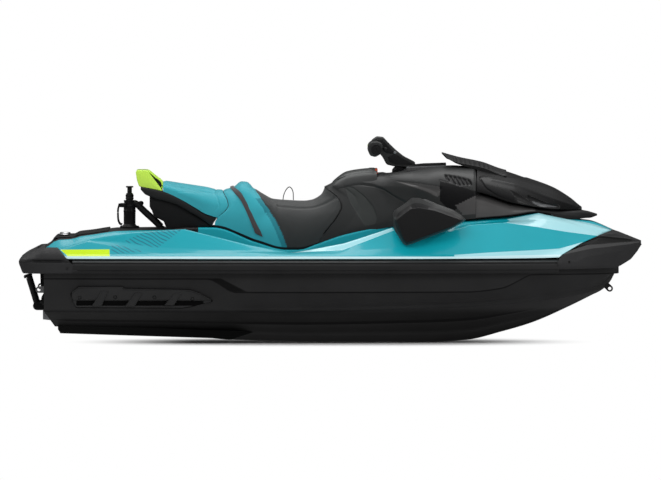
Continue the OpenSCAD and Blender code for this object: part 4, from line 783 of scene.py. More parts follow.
def hull_piece():
    """The half section carried along the stations, then patches for transom, tunnel, intake, strakes
    and stem. Each patch lies on the formulas above, or is a straight mix of its two borders."""
    x = np.unique(np.concatenate([
        np.linspace(TRANSOM, 240, 7), np.linspace(240, TUNNEL_END, 26), np.linspace(*INTAKE, 21),
        np.linspace(INTAKE[1], 2500, 60), np.linspace(2500, STEM, 70)]))
    P, span = rounded(hull_rows(x), HULL_RADII, 2)
    P, span = finer(P, span)
    full = both(P)
    mid = centres(full)
    my = np.abs(mid[..., 1])
    mx = (x[:-1, None] + x[1:, None]) / 2 + 0 * my
    bottom = mid[..., 2] < chine_z(mx) - 1
    over_intake = (mx > INTAKE[0]) & (mx < INTAKE[1]) & (my < INTAKE_HALF)
    cut = bottom & (((mx < TUNNEL_END) & (my < TUNNEL)) | over_intake)
    mats = np.zeros(mx.shape, int)
    spans = np.concatenate([span, [16], span[::-1]])[:mx.shape[1]]
    mats[:, spans == 3] = 1                                     # the step under the knuckle, in shade
    patches = [strip(full, keep=~cut, mat=mats)]
    # transom: from the half section's edge in to the centre line and the tunnel's mouth
    edge = P[0][np.abs(P[0][:, 1]) >= TUNNEL - 0.5]
    edge = np.concatenate([edge, [[TRANSOM + rake(edge[-1, 2]), -TUNNEL, edge[-1, 2]]]])
    d = np.concatenate([[0], np.cumsum(np.linalg.norm(np.diff(edge, axis=0), axis=1))])
    low = edge[-1, 2]
    shares, s = [0, 0.3, 0.62, 1], d / d[-1]
    inner_y = np.interp(s, shares, [0, 0, -TUNNEL, -TUNNEL])
    inner_z = np.interp(s, shares, [SEAM, ROOF + 1, ROOF, low])
    inner = xyz(TRANSOM + rake(inner_z), inner_y, inner_z)
    k = np.linspace(0, 1, 7)[:, None, None]
    face = mix(edge[None], inner[None], k)
    face[..., 0] = TRANSOM + rake(face[..., 2])
    patches += [strip(face), strip(mirror(face))]
    # tunnel walls and roof
    tx = x[x <= TUNNEL_END + 0.1]
    foot = vee_z(tx, TUNNEL)
    start = rake(foot[:1]) * np.clip(1 - (tx - TRANSOM) / 300, 0, 1)
    t = np.linspace(0, 1, 6)
    wall = xyz(tx[:, None] + start[:, None] * (1 - t), -TUNNEL, mix(foot[:, None], ROOF, t))
    roof_y = np.linspace(-TUNNEL, TUNNEL, 9)
    roof = xyz(tx[:, None], roof_y[None], ROOF)
    patches += [strip(wall), strip(mirror(wall)), strip(roof)]
    end_foot = vee_z(float(TUNNEL_END), roof_y)
    patches.append(strip(xyz(TUNNEL_END, roof_y[None], mix(end_foot[None], ROOF, t[:, None]))))
    # intake duct: from its rectangle in the bottom to the pump's round mouth
    a = np.linspace(0, 2 * np.pi, 33)[:-1]
    ca, sa = np.cos(a), np.sin(a)
    box = np.maximum(np.abs(ca), np.abs(sa))
    rx, ry = sum(INTAKE) / 2 + (INTAKE[1] - INTAKE[0]) / 2 * ca / box, INTAKE_HALF * sa / box
    mouth = xyz(rx, ry, vee_z(rx, np.abs(ry)))
    lip = xyz(mix(rx, 930, 0.12), ry * 0.95, 78)
    pump_x, pump_z, pump_r = PUMP_MOUTH
    throat = xyz(pump_x, pump_r * sa, pump_z - pump_r * ca)
    t = np.linspace(0, 1, 7)[:, None, None]
    duct = np.concatenate([mouth[None], mix(lip[None], throat[None], t)])
    patches.append(strip(duct, wrap=True))
    # keel strakes: a rounded rail along each side of the tunnel, down to the running surface
    sx = np.linspace(214, 1300, 80)
    sole = np.interp(sx, [214, 226, 655, 1066, 1171, 1300], [74, 52, 38, 25, 15, 58])
    head = vee_z(sx, 160) + 4
    ring = [(153, head), (153, sole + 5), (155.5, sole + 1), (160, sole), (166, sole + 1), (170, sole + 6),
            (173, head)]
    rail = np.stack([xyz(sx, -y, z) for y, z in ring], 1)
    for one in (rail, mirror(rail)):
        patches += [strip(one, wrap=True), capped(one[0]), capped(one[-1])]
    # stem: the last station's halves joined
    patches.append(strip(np.stack([P[-1], mirror(P[-1])])))
    make("hull_skin", patches, [M["hull"], M["hull_dark"]], "craft", "hull", wall=5, angle=30)


hull_piece()

# %% [markdown]
# ## Deck
#
# The deck is the coloured moulding above the rail. Its side is made of crisp facets, so its rows don't
# run level: each follows a crease, with its own x, height and distance in from the edge at each of
# sixteen key stations. Between the keys the rows are straight, which keeps the facets flat, and the
# gunwale's plan gives them their slow bend. Inboard come the footwells and the ridge under the seat.

# %% Facets of the deck's side: (x, height, distance in from the edge) at the key stations
EDGE = [(144, 474, 0), (222, 474, 0), (330, 474, 0), (560, 474, 0), (788, 474, 0), (1276, 474, 0),
        (1500, 474, 0),
        (1754, 474, 0), (2090, 474, 0), (2250, 474, 0), (2409, 474, 0), (2560, 474, 0), (2700, 474, 0),
        (2820, 475, 0), (2910, 476, 0), (2990, 478, 0)]
LEDGE = [(144, 488, 3), (222, 488, 3), (340, 488, 3), (565, 488, 3), (788, 488, 3), (1276, 488, 3),
         (1500, 488, 3),
         (1754, 488, 3), (2090, 487, 3), (2250, 486, 3), (2409, 486, 3), (2570, 488, 3), (2720, 491, 3),
         (2845, 492, 3), (2935, 493, 3), (3008, 494, 3)]
FOOT = [(144, 496, 14), (222, 496, 16), (345, 497, 18), (568, 497, 18), (788, 497, 16), (1276, 497, 16),
        (1500, 497, 16),
        (1754, 498, 16), (2087, 500, 15), (2250, 497, 12), (2409, 495, 12), (2600, 507, 14), (2780, 515, 15),
        (2890, 520, 15), (2990, 526, 15), (3125, 562, 20)]
LOW = [(144, 502, 34), (222, 520, 40), (377, 566, 66), (575, 532, 48), (788, 502, 24), (1276, 508, 30),
       (1500, 503, 32),
       (1754, 511, 40), (2142, 540, 50), (2240, 556, 62), (2342, 608, 82), (2497, 658, 112), (2697, 671, 122),
       (2870, 645, 96), (3030, 618, 72), (3205, 594, 40)]
HIGH = [(144, 506, 50), (222, 528, 56), (392, 574, 78), (560, 566, 82), (777, 536, 52), (1276, 515, 48),
        (1500, 507, 52),
        (1790, 520, 66), (2078, 630, 112), (2240, 636, 122), (2390, 652, 132), (2520, 667, 148), (2720, 678,
                                                                                                  158),
        (2910, 686, 150), (3060, 660, 118), (3236, 606, 70)]
CREST = [(144, 510, 56), (222, 531, 58), (403, 583, 84), (640, 618, 100), (921, 639, 100), (1276, 552, 84),
         (1520, 508, 74),
         (1800, 562, 98), (2060, 645, 116), (2250, 656, 130), (2430, 668, 142), (2560, 679, 158), (2700, 688,
                                                                                                   175),
         (2875, 722, 186), (3000, 694, 180), (3284, 622, 78)]
middle = curve((141, 535), (180, 562), (212, 588), (300, 590), (330, 603), (403, 612), (500, 627), (550, 632),
               (863, 632), (905, 640), (1075, 640), (1315, 558), (1480, 517), (1550, 517), (1648, 548), (1800,
                                                                                                         600),
               (2050, 650), (2300, 668), (2480, 688), (2680, 702), (2855, 716), (2970, 694), (3158, 678), (3290,
                                                                                                           627))
floor_curve = curve((905, 395), (1500, 368), (2000, 380), (2270, 410))
crest_share = curve((141, 0.9), (932, 0.85), (1520, 0.88), (2000, 0.82), (2500, 0.7), (2855, 0.6), (3449, 0.5))


def between_keys(keys, counts):
    """Straight lines between key stations, k (1 - t) + next t, with counts[k] steps from key k on."""
    k = np.array(keys, float)
    at = np.concatenate([i + np.arange(c) / c for i, c in enumerate(counts)] + [[len(keys) - 1]])
    i = np.minimum(at.astype(int), len(keys) - 2)
    t = (at - i)[:, None]
    return k[i] * (1 - t) + k[i + 1] * t


def crest_y(x):
    """Half breadth of the deck's crest: its share of the outer edge's."""
    return crest_share(x) * edge_y(x)


def well_outer(share):
    """Half breadth of the footwell's outer side: 0.84 of the crest's, no more than 440."""
    return np.minimum(440, 0.84 * share)


def well_inner(share):
    """Half breadth of the footwell's inner side: 0.45 of the crest's, no more than 225."""
    return np.minimum(225, 0.45 * share)


def in_well(x):
    """1 over the footwells and 0 beyond their sloping ends."""
    return ease(866, 912, x) * (1 - ease(2266, 2312, x))


BIN_HOLE, PYLON_HOLE = (2540, 2975, 196), (580, 640, 30)          # openings: x from, x to, half breadth


def deck_piece():
    """The six creases, then five rows inboard whose heights mix the crest, the middle line and the
    footwell's floor: floor = mix(middle, floor_curve, in_well). Fillets go in at every row."""
    counts = [3, 6, 9, 9, 20, 10, 10, 13, 8, 8, 8, 8, 8, 8, 14]
    side = []
    for keys in (EDGE, LEDGE, FOOT, LOW, HIGH, CREST):
        p = between_keys(keys, counts)
        side.append(xyz(p[:, 0], -(edge_y(p[:, 0]) - p[:, 2]), p[:, 1]))
    side = np.stack(side, 1)
    cx, cz = side[:, -1, 0], side[:, -1, 2]
    cy = -side[:, -1, 1]
    share = crest_y(cx)
    w = in_well(cx)
    mid = middle(cx)
    out_y, in_y = well_outer(share), well_inner(share)
    lip_z = mix(mix(cz, mid, np.where(cx < 905, 0.8, 0.35)), cz - 12, w)
    lip_y = np.minimum(np.minimum(out_y + 30, 0.92 * share), cy - 8)
    floor = mix(mid - 3, floor_curve(cx), w)
    rows = [(lip_y, lip_z), (np.minimum(out_y, lip_y - 6), floor), (in_y, floor), (0.93 * in_y, mid - 1),
            (0.2 * share, mid), (0.5, mid)]
    inboard = np.stack([xyz(cx, -y, z) for y, z in rows], 1)
    P = np.concatenate([side, inboard], 1)
    radii = [0, 5, 5, 7, 9, 16, 14, 26, 26, 14, 30, 0]
    P, span = rounded(P, radii, 4)
    P, span = finer(P, span)
    full = both(P)
    spans = np.concatenate([span, [12], span[::-1]])[:full.shape[1] - 1]
    c = centres(full)
    X, Y = c[..., 0], np.abs(c[..., 1])
    keep = np.ones(X.shape, bool)
    for x0, x1, half in (BIN_HOLE, PYLON_HOLE):
        keep &= ~((X > x0) & (X < x1) & (Y < half))
    mats = np.zeros(X.shape, int)
    mats[:, spans <= 1] = 2                                     # gunwale flange, painted pale as the sky's reflection
    start = np.concatenate([[0], np.cumsum(counts)])            # station number of each key
    # painted highlight: from these key stations on, the facets that face the sky take the pale teal
    mats[start[10]:, spans == 2] = 1
    mats[start[12]:, (spans == 4) | (spans == 5)] = 1
    mats[start[13]:, spans == 6] = 1
    mats[start[6]:start[8], spans == 5] = 1
    mats[:start[4] + 4, spans >= 7] = 3
    make("deck_moulding", [strip(full, keep=keep, mat=mats)], [M["deck"], M["pale"], M["white"], M["black"]],
         "craft", "deck", wall=5, angle=24)


deck_piece()

# %% [markdown]
# ## Bumpers and rub rails
#
# Soft black mouldings wrap the edge where hull and deck are bonded. Each is a profile carried along
# the gunwale's plan. The profile is given as pairs of height and distance in from the plan's outline,
# so the same few numbers make a groove that runs the whole length.

# %% Stern bumper
bumper_top = line((0, 461), (10, 481), (52, 503), (115, 534), (150, 536), (217, 535), (223, 530), (289, 452),
                  (333, 402), (340, 394))
STERN_PROFILE = [(391, 36), (391, 12), (394, 5), (400, 1), (446, 0), (452, 2), (456, 13), (464, 14), (469, 4),
                 (473, 2),
                 (498, 12), (520, 30), (532, 46), (538, 62), (540, 84), (533, 92)]
LENS_GROOVE = (452, 468)                                        # heights between which the lens's groove is cut
BUMPER_BOLT = [(0, 0), (0, 7), (3, 7), (4, 5), (2.5, 3), (2.5, 0)]
stern_lean = line((391, 26), (411, 11), (446, 2), (455, 0), (470, 6), (477, 11), (498, 38), (511, 56),
                  (532, 92), (540, 112))


def stern_bumper_piece():
    """Outline points from the wing's end aft along the plan, round the corner and across the stern;
    each profile pair moves in along the outline's normal and is capped at the bumper's top line."""
    wx = np.concatenate([np.linspace(333, CORNER, 40), CORNER - CORNER * np.sin(np.linspace(0.03, np.pi / 2,
                                                                                            22))])
    outline = np.stack([wx, rail_y(wx)], 1)
    across = np.linspace(outline[-1, 1], 0.5, 34)[1:]
    outline = np.concatenate([outline, np.stack([np.zeros(len(across)), across], 1)])
    d = np.gradient(outline, axis=0)
    normal = np.stack([-d[:, 1], d[:, 0]], 1)
    normal /= np.linalg.norm(normal, axis=1, keepdims=True)
    x0 = outline[:, 0]
    deep = 1 - ease(5, CORNER, x0)
    rows = []
    groove = ease(46, 96, x0) * (1 - ease(225, 262, x0))
    for z, inset in STERN_PROFILE:
        depth = np.full(len(x0), float(inset))
        if LENS_GROOVE[0] < z < LENS_GROOVE[1]:
            depth = 1 + (inset - 1) * groove
        depth = np.maximum(depth, mix(depth, stern_lean(z), deep))
        p = outline + normal * depth[:, None]
        top = bumper_top(np.maximum(p[:, 0], x0 * (x0 > CORNER)))
        rows.append(xyz(p[:, 0], -p[:, 1], np.minimum(z, top)))
    # across the stern the inner edge runs on, forward and down to the deck
    p = outline + normal * mix(93.0, 143.5, deep)[:, None]
    rows.append(xyz(p[:, 0], -p[:, 1], mix(rows[-1][:, 2] - 1, 487.0, deep)))
    P = np.stack(rows, 1)
    P, span = rounded(P, [0, 3, 3, 3, 4, 2, 2, 2, 2, 6, 9, 8, 6, 6, 4, 2, 0], 2)
    mat = np.zeros((len(x0) - 1, P.shape[1] - 1), int)
    mat[:, (span >= 6) & (span <= 8)] = 1
    end = np.stack([P[0], P[0] * 0.02 + P[0].mean(0) * 0.98])
    bolt = turned(BUMPER_BOLT, (272, -rail_y(272) - 0.5, 421), (0, -1, 0), 14, mat=1)
    make("stern_bumper_skin", [strip(P, mat=mat), strip(end), bolt], [M["bumper"], M["rail"]], "craft",
         "stern_bumper", mirrored=True, angle=30)


stern_bumper_piece()

# %% Bow bumper
TIP = 3449
under_line = line((2975, 411), (3310, 416), (3343, 433), (3391, 461), (3430, 507), (3449, 540))
# each row: where it starts, its half breadth there as a share of the rail's, its height line to the
# tip, and its share at the tip
BOW_ROWS = [
    (2976, 0.87, line((2976, 412), (3310, 418), (3380, 470), (3449, 545)), 0.80),
    (2975, 0.985, under_line, 0.97),
    (2976, 1.0, line((2976, 424), (3310, 430), (3349, 446), (3391, 476), (3430, 514), (3449, 544)), 1.0),
    (2979, 1.0, line((2979, 448), (3090, 452), (3130, 477), (3300, 505), (3430, 524), (3449, 548)), 1.0),
    (2984, 0.99, line((2984, 462), (3095, 470), (3140, 492), (3300, 514), (3430, 531), (3449, 551)), 0.995),
    (3008, 0.972, line((3008, 492), (3163, 523), (3385, 545), (3449, 556)), 0.98),
    (3050, 0.955, line((3050, 514), (3141, 543), (3300, 553), (3449, 559)), 0.95),
    (3064, 0.91, line((3064, 521), (3150, 550), (3300, 557), (3449, 560)), 0.86),
    (3110, 0.885, line((3110, 550), (3219, 586), (3330, 572), (3449, 561)), 0.80),
    (3125, 0.895, line((3125, 561), (3219, 593), (3350, 580), (3449, 562)), 0.80),
    (3205, 0.84, line((3205, 594.5), (3260, 602), (3449, 563)), 0.72),
    (3236, 0.79, line((3236, 607), (3300, 606), (3449, 563.5)), 0.62),
    (3284, 0.63, line((3284, 624), (3330, 610), (3449, 564)), 0.40),
    (3284, 0.002, line((3284, 628), (3330, 612), (3449, 564.5)), 0.002)]


def bow_bumper_piece():
    """Every row runs from the deck's border to the tip: x bunches towards the tip, where the plan turns
    fastest, and y is the rail's half breadth times a share that drifts along the row."""
    s = 1 - (1 - np.linspace(0, 1, 64)) ** 1.9
    rows = []
    for x0, share, height, last in BOW_ROWS:
        x = mix(x0, TIP, s)
        rows.append(xyz(x, -rail_y(x) * mix(share, last, s), height(x)))
    P = np.stack(rows, 1)
    P, span = rounded(P, [0, 4, 5, 5, 4, 6, 4, 4, 5, 5, 8, 10, 20, 0], 3)
    P, span = finer(P, span)
    mat = np.zeros((P.shape[0] - 1, P.shape[1] - 1), int)
    x = (P[:-1, :-1, 0] + P[1:, 1:, 0]) / 2
    # painted shade: the scoop's rows below the top line are black
    mat[(span >= 7)[None] & (span <= 9)[None] & (x < 3395)] = 1
    # painted highlight: the facet under the scoop takes the lighter bumper finish
    mat[:, span == 6] = 2
    mats = np.concatenate([mat, np.zeros((len(mat), 1), int), mat[:, ::-1]], 1)
    patches = [strip(both(P), mat=mats), strip(np.stack([P[-1], mirror(P[-1])]))]
    bolt = lathe(BUMPER_BOLT, (3046, -rail_y(3046) + 0.5, 452), (-0.1, -1, 0), 14)
    patches += [strip(one, wrap=True, mat=1) for one in (bolt, mirror(bolt))]
    make("bow_bumper_skin", patches, [M["bumper"], M["piping"], M["bumper_highlight"]], "craft",
         "bow_bumper", wall=3, angle=28)


bow_bumper_piece()

# %% Rub rails
RAIL_PROFILE = [(391, 36), (391, 8), (393, 3), (399, 0), (404, 0), (406, 3), (410, 3), (412, 0), (436, 0),
                (442, 3), (446, 7),
                (449, 5), (455, 6), (461, 12), (465.5, 22), (465.5, 36), (391, 36)]


SIDES = ((-1, "right"), (1, "left"))


def rail_piece(side, word):
    """The rail's profile carried along the gunwale from the stern bumper to the bow bumper."""
    x = np.concatenate([np.linspace(300, 2400, 80), np.linspace(2420, 2990, 60)])
    P = np.stack([xyz(x, side * (rail_y(x) - d), z) for z, d in RAIL_PROFILE], 1)
    mat = np.zeros((len(x) - 1, P.shape[1] - 1), int)
    # painted highlight: the bead along the rail's top takes the lighter rubber
    mat[:, 12:14] = 1
    patches = [strip(P, mat=mat), capped(P[0], wrap=False), capped(P[-1], wrap=False)]
    make(f"rub_rail_{word}_skin", patches, [M["rail"], M["rail_lip"]], "craft",
         f"rub_rail_{word}", angle=30)


for side, word in SIDES:
    rail_piece(side, word)

# %% [markdown]
# ## Sponsons
#
# A sponson is a stiff plastic fin that is bolted to the side near the stern and helps the craft to
# hold its line in a turn. Its relief is a height above the hull's side, worked out over a fine grid:
# a raised plate, a trough under it, and three slanted ribs that bridge the trough.

# %% Sponsons
SPONSON_X = (289, 1074)
sponson_top = line((289, 283), (333, 322), (575, 323), (584, 313), (950, 305), (1000, 286), (1074, 243))
sponson_foot = line((289, 276), (305, 228), (322, 201), (905, 199), (945, 205), (1074, 238))
RIBS = [((433, 211), (478, 296)), ((616, 211), (668, 287)), ((832, 215), (884, 285))]
BOLTS = [(339, 258), (536, 261), (752, 261), (962, 252)]


def sponson_relief(x, z, top, foot):
    """Height in millimetres over the hull: plate, trough, ribs and a lip, with edges 4 mm wide."""
    h = 9 + 7 * ease(243, 248, z)
    trough = ease(213, 217, z) * (1 - ease(238, 243, z)) * ease(318, 326, x) * (1 - ease(1000, 1040, x))
    h = mix(h, 3, trough)
    frame_line = np.minimum(top - z, z - foot)
    h = h - 2.5 * (1 - ease(0, 1.5, np.abs(frame_line - 11))) * (z > 243)
    for (x0, z0), (x1, z1) in RIBS:
        along = (z - z0) / (z1 - z0)
        off = np.abs(x - mix(x0, x1, along))
        half = mix(30, 24, np.clip(along, 0, 1))
        rib = (1 - ease(half - 4, half, off)) * ease(-0.02, 0.04, along) * (1 - ease(0.97, 1.05, along))
        edge = (1 - ease(3, 6, np.abs(off - half + 10))) * 2
        h = np.maximum(h, rib * (21 - edge))
    for bx, bz in BOLTS:
        r = np.hypot(x - bx, z - bz)
        h = h - 5 * (1 - ease(9, 11, r)) + 4.5 * (1 - ease(5.5, 7, r))
    return h


def sponson_piece(side, word):
    """The relief on the hull's side: y = flank_y + 1.5 + (relief - 1.5) edge, where edge eases from 0
    to 1 over the rim; the solid's back lies 2 inside the side."""
    x = np.linspace(*SPONSON_X, 300)
    t = np.linspace(0, 1, 64)
    top, foot = sponson_top(x)[:, None], sponson_foot(x)[:, None]
    z = mix(foot, top, t)
    X = x[:, None] + 0 * z
    h = sponson_relief(X, z, top, foot)
    edge = (ease(0, 0.05, t) * (1 - ease(0.95, 1, t)))[None]
    edge = edge * ease(0, 10, X - SPONSON_X[0]) * ease(0, 14, SPONSON_X[1] - X)
    h = 1.5 + (h - 1.5) * edge
    y = flank_y(X, z)
    deep = (centres(h) < 7).astype(int)
    patches = shell(xyz(X, side * (y + h), z), xyz(X, side * (y - 2), z), mat=deep, under_mat=1)
    make(f"sponson_{word}_skin", patches, [M["sponson"], M["trough"]], "craft",
         f"sponson_{word}", angle=32)


for side, word in SIDES:
    sponson_piece(side, word)

# %% [markdown]
# ## Mats
#
# Closed-cell foam mats cover the boarding platform and the footwells. They are thin pads that follow
# the deck, with a soft edge, and their diamond grooves are a bump in the finish.

# %% Mats
PAD, RIM = 6, 0.8                                               # a pad's thickness, and what is left at its rim


def mat_pad(name, stations, inner, outer, height, node_name):
    """A pad between two half breadths on each side, lifted off the deck. Its rim is rounded over its
    thickness: lift = 0.8 + 5.2 sqrt(1 - (1 - d / 6)^2), with d the distance in from the rim."""
    x = np.concatenate([np.linspace(*span) for span in stations])[:, None]
    y = mix(inner(x), outer(x), np.linspace(0, 1, 22))
    d = np.minimum(np.minimum(y - inner(x), outer(x) - y), np.minimum(x - x[0], x[-1] - x))
    lift = RIM + (PAD - RIM) * np.sqrt(1 - (1 - np.clip(d / PAD, 0, 1)) ** 2)
    z = height(x)
    make(name, shell(xyz(x, -y, z + lift), xyz(x, -y, z + 0.3)), [M["mat"]], "craft", node_name,
         mirrored=True, angle=40)


mat_pad("platform_pad", [(182, 188, 5), (190, 490, 50), (492, 500, 5)], lambda x: 0.6,
        lambda x: well_outer(crest_y(x)) - 8, lambda x: middle(x) - 0.2, "platform_mat")
mat_pad("footwell_pads", [(924, 930, 4), (932, 2230, 90), (2232, 2240, 5)],
        lambda x: well_inner(crest_y(x)) + 12,
        lambda x: well_outer(crest_y(x)) - 14, lambda x: mix(middle(x) - 3, floor_curve(x), in_well(x)) - 0.3,
        "footwell_mats")


def anchor_piece():
    """Two latch sockets on the platform: a stepped metal ring round a dark cup."""
    ring = [(0, 30), (12, 30), (15, 27), (16, 25), (16, 16), (15, 14.2), (4, 14), (4, 0)]
    z0 = from_frame(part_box("cargo_anchors")[0].z, "z")
    mat = np.zeros((len(ring) - 1, 1), int)
    mat[1:4] = 1
    make("latch_sockets", [turned(ring, (250, -205, z0), (0, 0, 1), 40, mat)], [M["black"], M["steel"]],
         "craft", "cargo_anchors", mirrored=True, angle=30)


anchor_piece()

# %% [markdown]
# ## Seats
#
# The seats are foam under stretched vinyl: crowned across, full between their seams, and pulled in
# at them. A domed section is carried along the seat between its two slanted ends. Then each seam
# presses the surface in by a few millimetres and the panels beside it swell, so light rolls over them.

# %% Padding tools
def grid_normals(P):
    """Unit normals of a grid, from the cross product of its two directions."""
    a, b = np.gradient(P, axis=0), np.gradient(P, axis=1)
    n = np.cross(a, b)
    return n / np.maximum(np.linalg.norm(n, axis=-1, keepdims=True), 1e-9)


def to_line(x, z, points):
    """Least side-view distance from each point to a polyline."""
    best = np.full(np.shape(x), 1e9)
    for (ax, az), (bx, bz) in zip(points, points[1:]):
        dx, dz = bx - ax, bz - az
        t = np.clip(((x - ax) * dx + (z - az) * dz) / (dx * dx + dz * dz), 0, 1)
        best = np.minimum(best, np.hypot(x - ax - t * dx, z - az - t * dz))
    return best


def raised(P, height):
    """Moves each point of a grid along its outward normal by height."""
    n = grid_normals(P)
    sign = np.sign((n * (P - P.mean((0, 1)))).sum(-1).mean())
    return P + sign * n * height[..., None]


def sewn(P, seams, depth, puff, narrow, wide):
    """Pulls the surface in at each seam and swells it beside, by the least distance d to any of the
    seams: -depth exp(-(d / narrow)^2) + puff (1 - exp(-(d / wide)^2))."""
    d = np.minimum.reduce([np.broadcast_to(seam(P), P.shape[:2]) for seam in seams])
    return raised(P, -depth * np.exp(-(d / narrow) ** 2) + puff * (1 - np.exp(-(d / wide) ** 2)))


def spread(n, power=1.9):
    """n values from -1 to 1, closer together near the ends: 1 - (1 - |s|)^power."""
    s = np.linspace(-1, 1, n)
    return np.sign(s) * (1 - (1 - np.abs(s)) ** power)


# %% Driver's seat
driver_top = curve((1130, 842), (1174, 852), (1195, 860), (1238, 889), (1262, 889), (1285, 874), (1356, 793),
                   (1407, 786),
                   (1508, 781), (1545, 786), (1600, 810), (1645, 836), (1690, 865))
driver_width = curve((1080, 172), (1300, 188), (1500, 192), (1690, 186))
seat_rear = curve((640, 1068), (691, 1100), (760, 1160), (782, 1157), (850, 1130), (900, 1128))
seat_front = curve((540, 1640), (620, 1700), (700, 1762), (755, 1787), (800, 1773), (866, 1690))
TEAL_EDGE = [(1273, 900), (1280, 886), (1348, 788), (1419, 685), (1454, 614), (1491, 515)]
SEAT_X, SEAT_FOOT = (1134, 1688), (1082, 1640)                  # the ends of the seat's crown and of its foot
SKIRT, FOOT_STRIP = 26.3, 12                                          # the padding's height off the deck, and that of the strip at its foot


def cushion_dome(v):
    """Both seats' section: (1 - |v|^3.2)^(1/1.9)."""
    return dome(v, 3.2, 1.9)


def seat_solid(P, floor_z):
    """Closes a seat: its sides drop to floor_z, with a strip at the foot, and a sheet runs underneath."""
    def at_height(e, lift):
        """The border e brought down to lift above the floor."""
        low = e.copy()
        low[..., 2] = floor_z[:, None] + lift
        return low
    a, b = P[:, :1], P[:, -1:]
    full = np.concatenate([at_height(a, 0), at_height(a, FOOT_STRIP), P, at_height(b, FOOT_STRIP), at_height(b, 0)], 1)
    under = full.copy()
    under[..., 2] = floor_z[:, None]
    under[..., 0] = full[:, :1, 0]
    k = np.linspace(0, 1, full.shape[1])[None]
    under[..., 1] = mix(full[:, :1, 1], full[:, -1:, 1], k)
    return full, under


def driver_seat_piece():
    """Height low + (top - low) dome(v) at a share u of the way along, x between the slanted ends at that
    height, then three seams: the colour change, one along each shoulder, and the front border's."""
    u, v = np.linspace(0, 1, 170)[:, None], spread(91)[None]
    x, low = mix(*SEAT_X, u), middle(mix(*SEAT_FOOT, u)) + SKIRT
    z = low + (driver_top(x) - low) * cushion_dome(v)
    P = xyz(mix(seat_rear(z), seat_front(z), u), v * driver_width(x), z)
    seams = [lambda Q: to_line(Q[..., 0], Q[..., 2], TEAL_EDGE),
             lambda Q: np.where(Q[..., 0] > 1400, np.abs(np.abs(Q[..., 1]) - 128) + 60 * (Q[..., 0] < 1430),
                                1e3),
             lambda Q: np.abs(Q[..., 0] - seat_front(Q[..., 2])) + 2]
    S = sewn(P, seams, depth=4.5, puff=4.0, narrow=4.5, wide=36)
    rim = np.minimum(ease(0, 0.03, u), 1 - ease(0.985, 1, u)) * (1 - np.abs(v) ** 40)
    P = mix(P, S, rim[..., None])
    full, under = seat_solid(P, middle(np.linspace(*SEAT_FOOT, 170)) + 0.3)
    c = centres(full)
    edge_x = np.interp(-c[..., 2], [-z for x, z in TEAL_EDGE], [x for x, z in TEAL_EDGE])
    mat = (c[..., 0] < edge_x).astype(int)
    mat[(c[..., 0] > edge_x - 30) & (c[..., 0] < edge_x) & (c[..., 2] < 800)] = 2
    mat[:, [0, -1]] = 3                                         # painted shadow: a black strip along the seat's foot, where it meets the deck
    obj = make("driver_cushion", shell(full, under, mat=mat, under_mat=0),
               [M["seat"], M["seat_teal"], M["seat_shade"],
                M["piping"]], "craft", "driver_seat", angle=50)
    piping = tube(P[-2][3:-3] + [1.5, 0, 0], 3.6, 10)
    make("seat_piping", [strip(piping, wrap=True)], [M["piping"]], "craft", angle=60)


driver_seat_piece()

# %% Strap over the seat
def strap_piece():
    """Webbing over the joint between the seats. Each point lies on the driver's cushion and slides
    forward as it goes down the side: x = 1176 + 169 (1 - dome(v)), and the webbing widens with it."""
    v = spread(61, 1.6) * 0.99
    n = cushion_dome(v)
    slide = 1 - n
    tuck = [11, 0, -30]                                         # both ends run on, down beside the seat
    faces = []
    for lift in (12.5, 9.5):
        rows = []
        for k in np.linspace(0, 1, 7):
            x = 1176 + 169 * slide + (k - 0.5) * mix(17, 46, slide)
            low = middle(np.clip(x, *SEAT_FOOT)) + 26
            z = low + (driver_top(x) - low) * n
            out = lift + 1.2 * (1 - (2 * k - 1) ** 2)
            row = xyz(x, v * driver_width(x) + np.sign(v) * out * slide * 0.95, z + out * np.maximum(0.35, n))
            rows.append(np.concatenate([row[:1] + tuck, row, row[-1:] + tuck]))
        faces.append(np.stack(rows))
    make("seat_strap_webbing", shell(*faces), [M["strap"]], "craft", "seat_strap", angle=50)


strap_piece()


def pull_loop_piece():
    """A narrow loop of webbing that stands up from the seat: a band 2.4 to each side of its path."""
    z0 = from_frame(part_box("seat_pull_loop")[0].z, "z")
    knots = [(1461, 1), (1466, 30), (1478, 57), (1494, 73), (1507, 67), (1517, 45), (1519, 1)]
    path = smooth_path([(x, 0, z0 + z) for x, z in knots], 50)
    d = np.gradient(path, axis=0)
    n = np.stack([-d[:, 2], 0 * d[:, 0], d[:, 0]], 1)
    n /= np.linalg.norm(n, axis=1, keepdims=True)
    across = np.array([-8, -7, 0, 7, 8.0])[None, :, None] * [0, 1, 0]
    outer, inner = (path[:, None] + n[:, None] * half + across for half in (2.4, -2.4))
    make("seat_loop_webbing", shell(outer, inner), [M["webbing"]], "craft",
         "seat_pull_loop", angle=50)


pull_loop_piece()

# %% Passenger's seat
rear_top = curve((760, 893), (800, 891), (900, 877), (1000, 862), (1130, 842))
rear_low = curve((672, 864), (797, 838), (903, 790), (977, 747), (1031, 715), (1105, 691))
rear_width = curve((760, 150), (900, 158), (1100, 170))
trim_low = curve((672, 850), (701, 820), (866, 768), (924, 737), (1031, 672), (1062, 648))


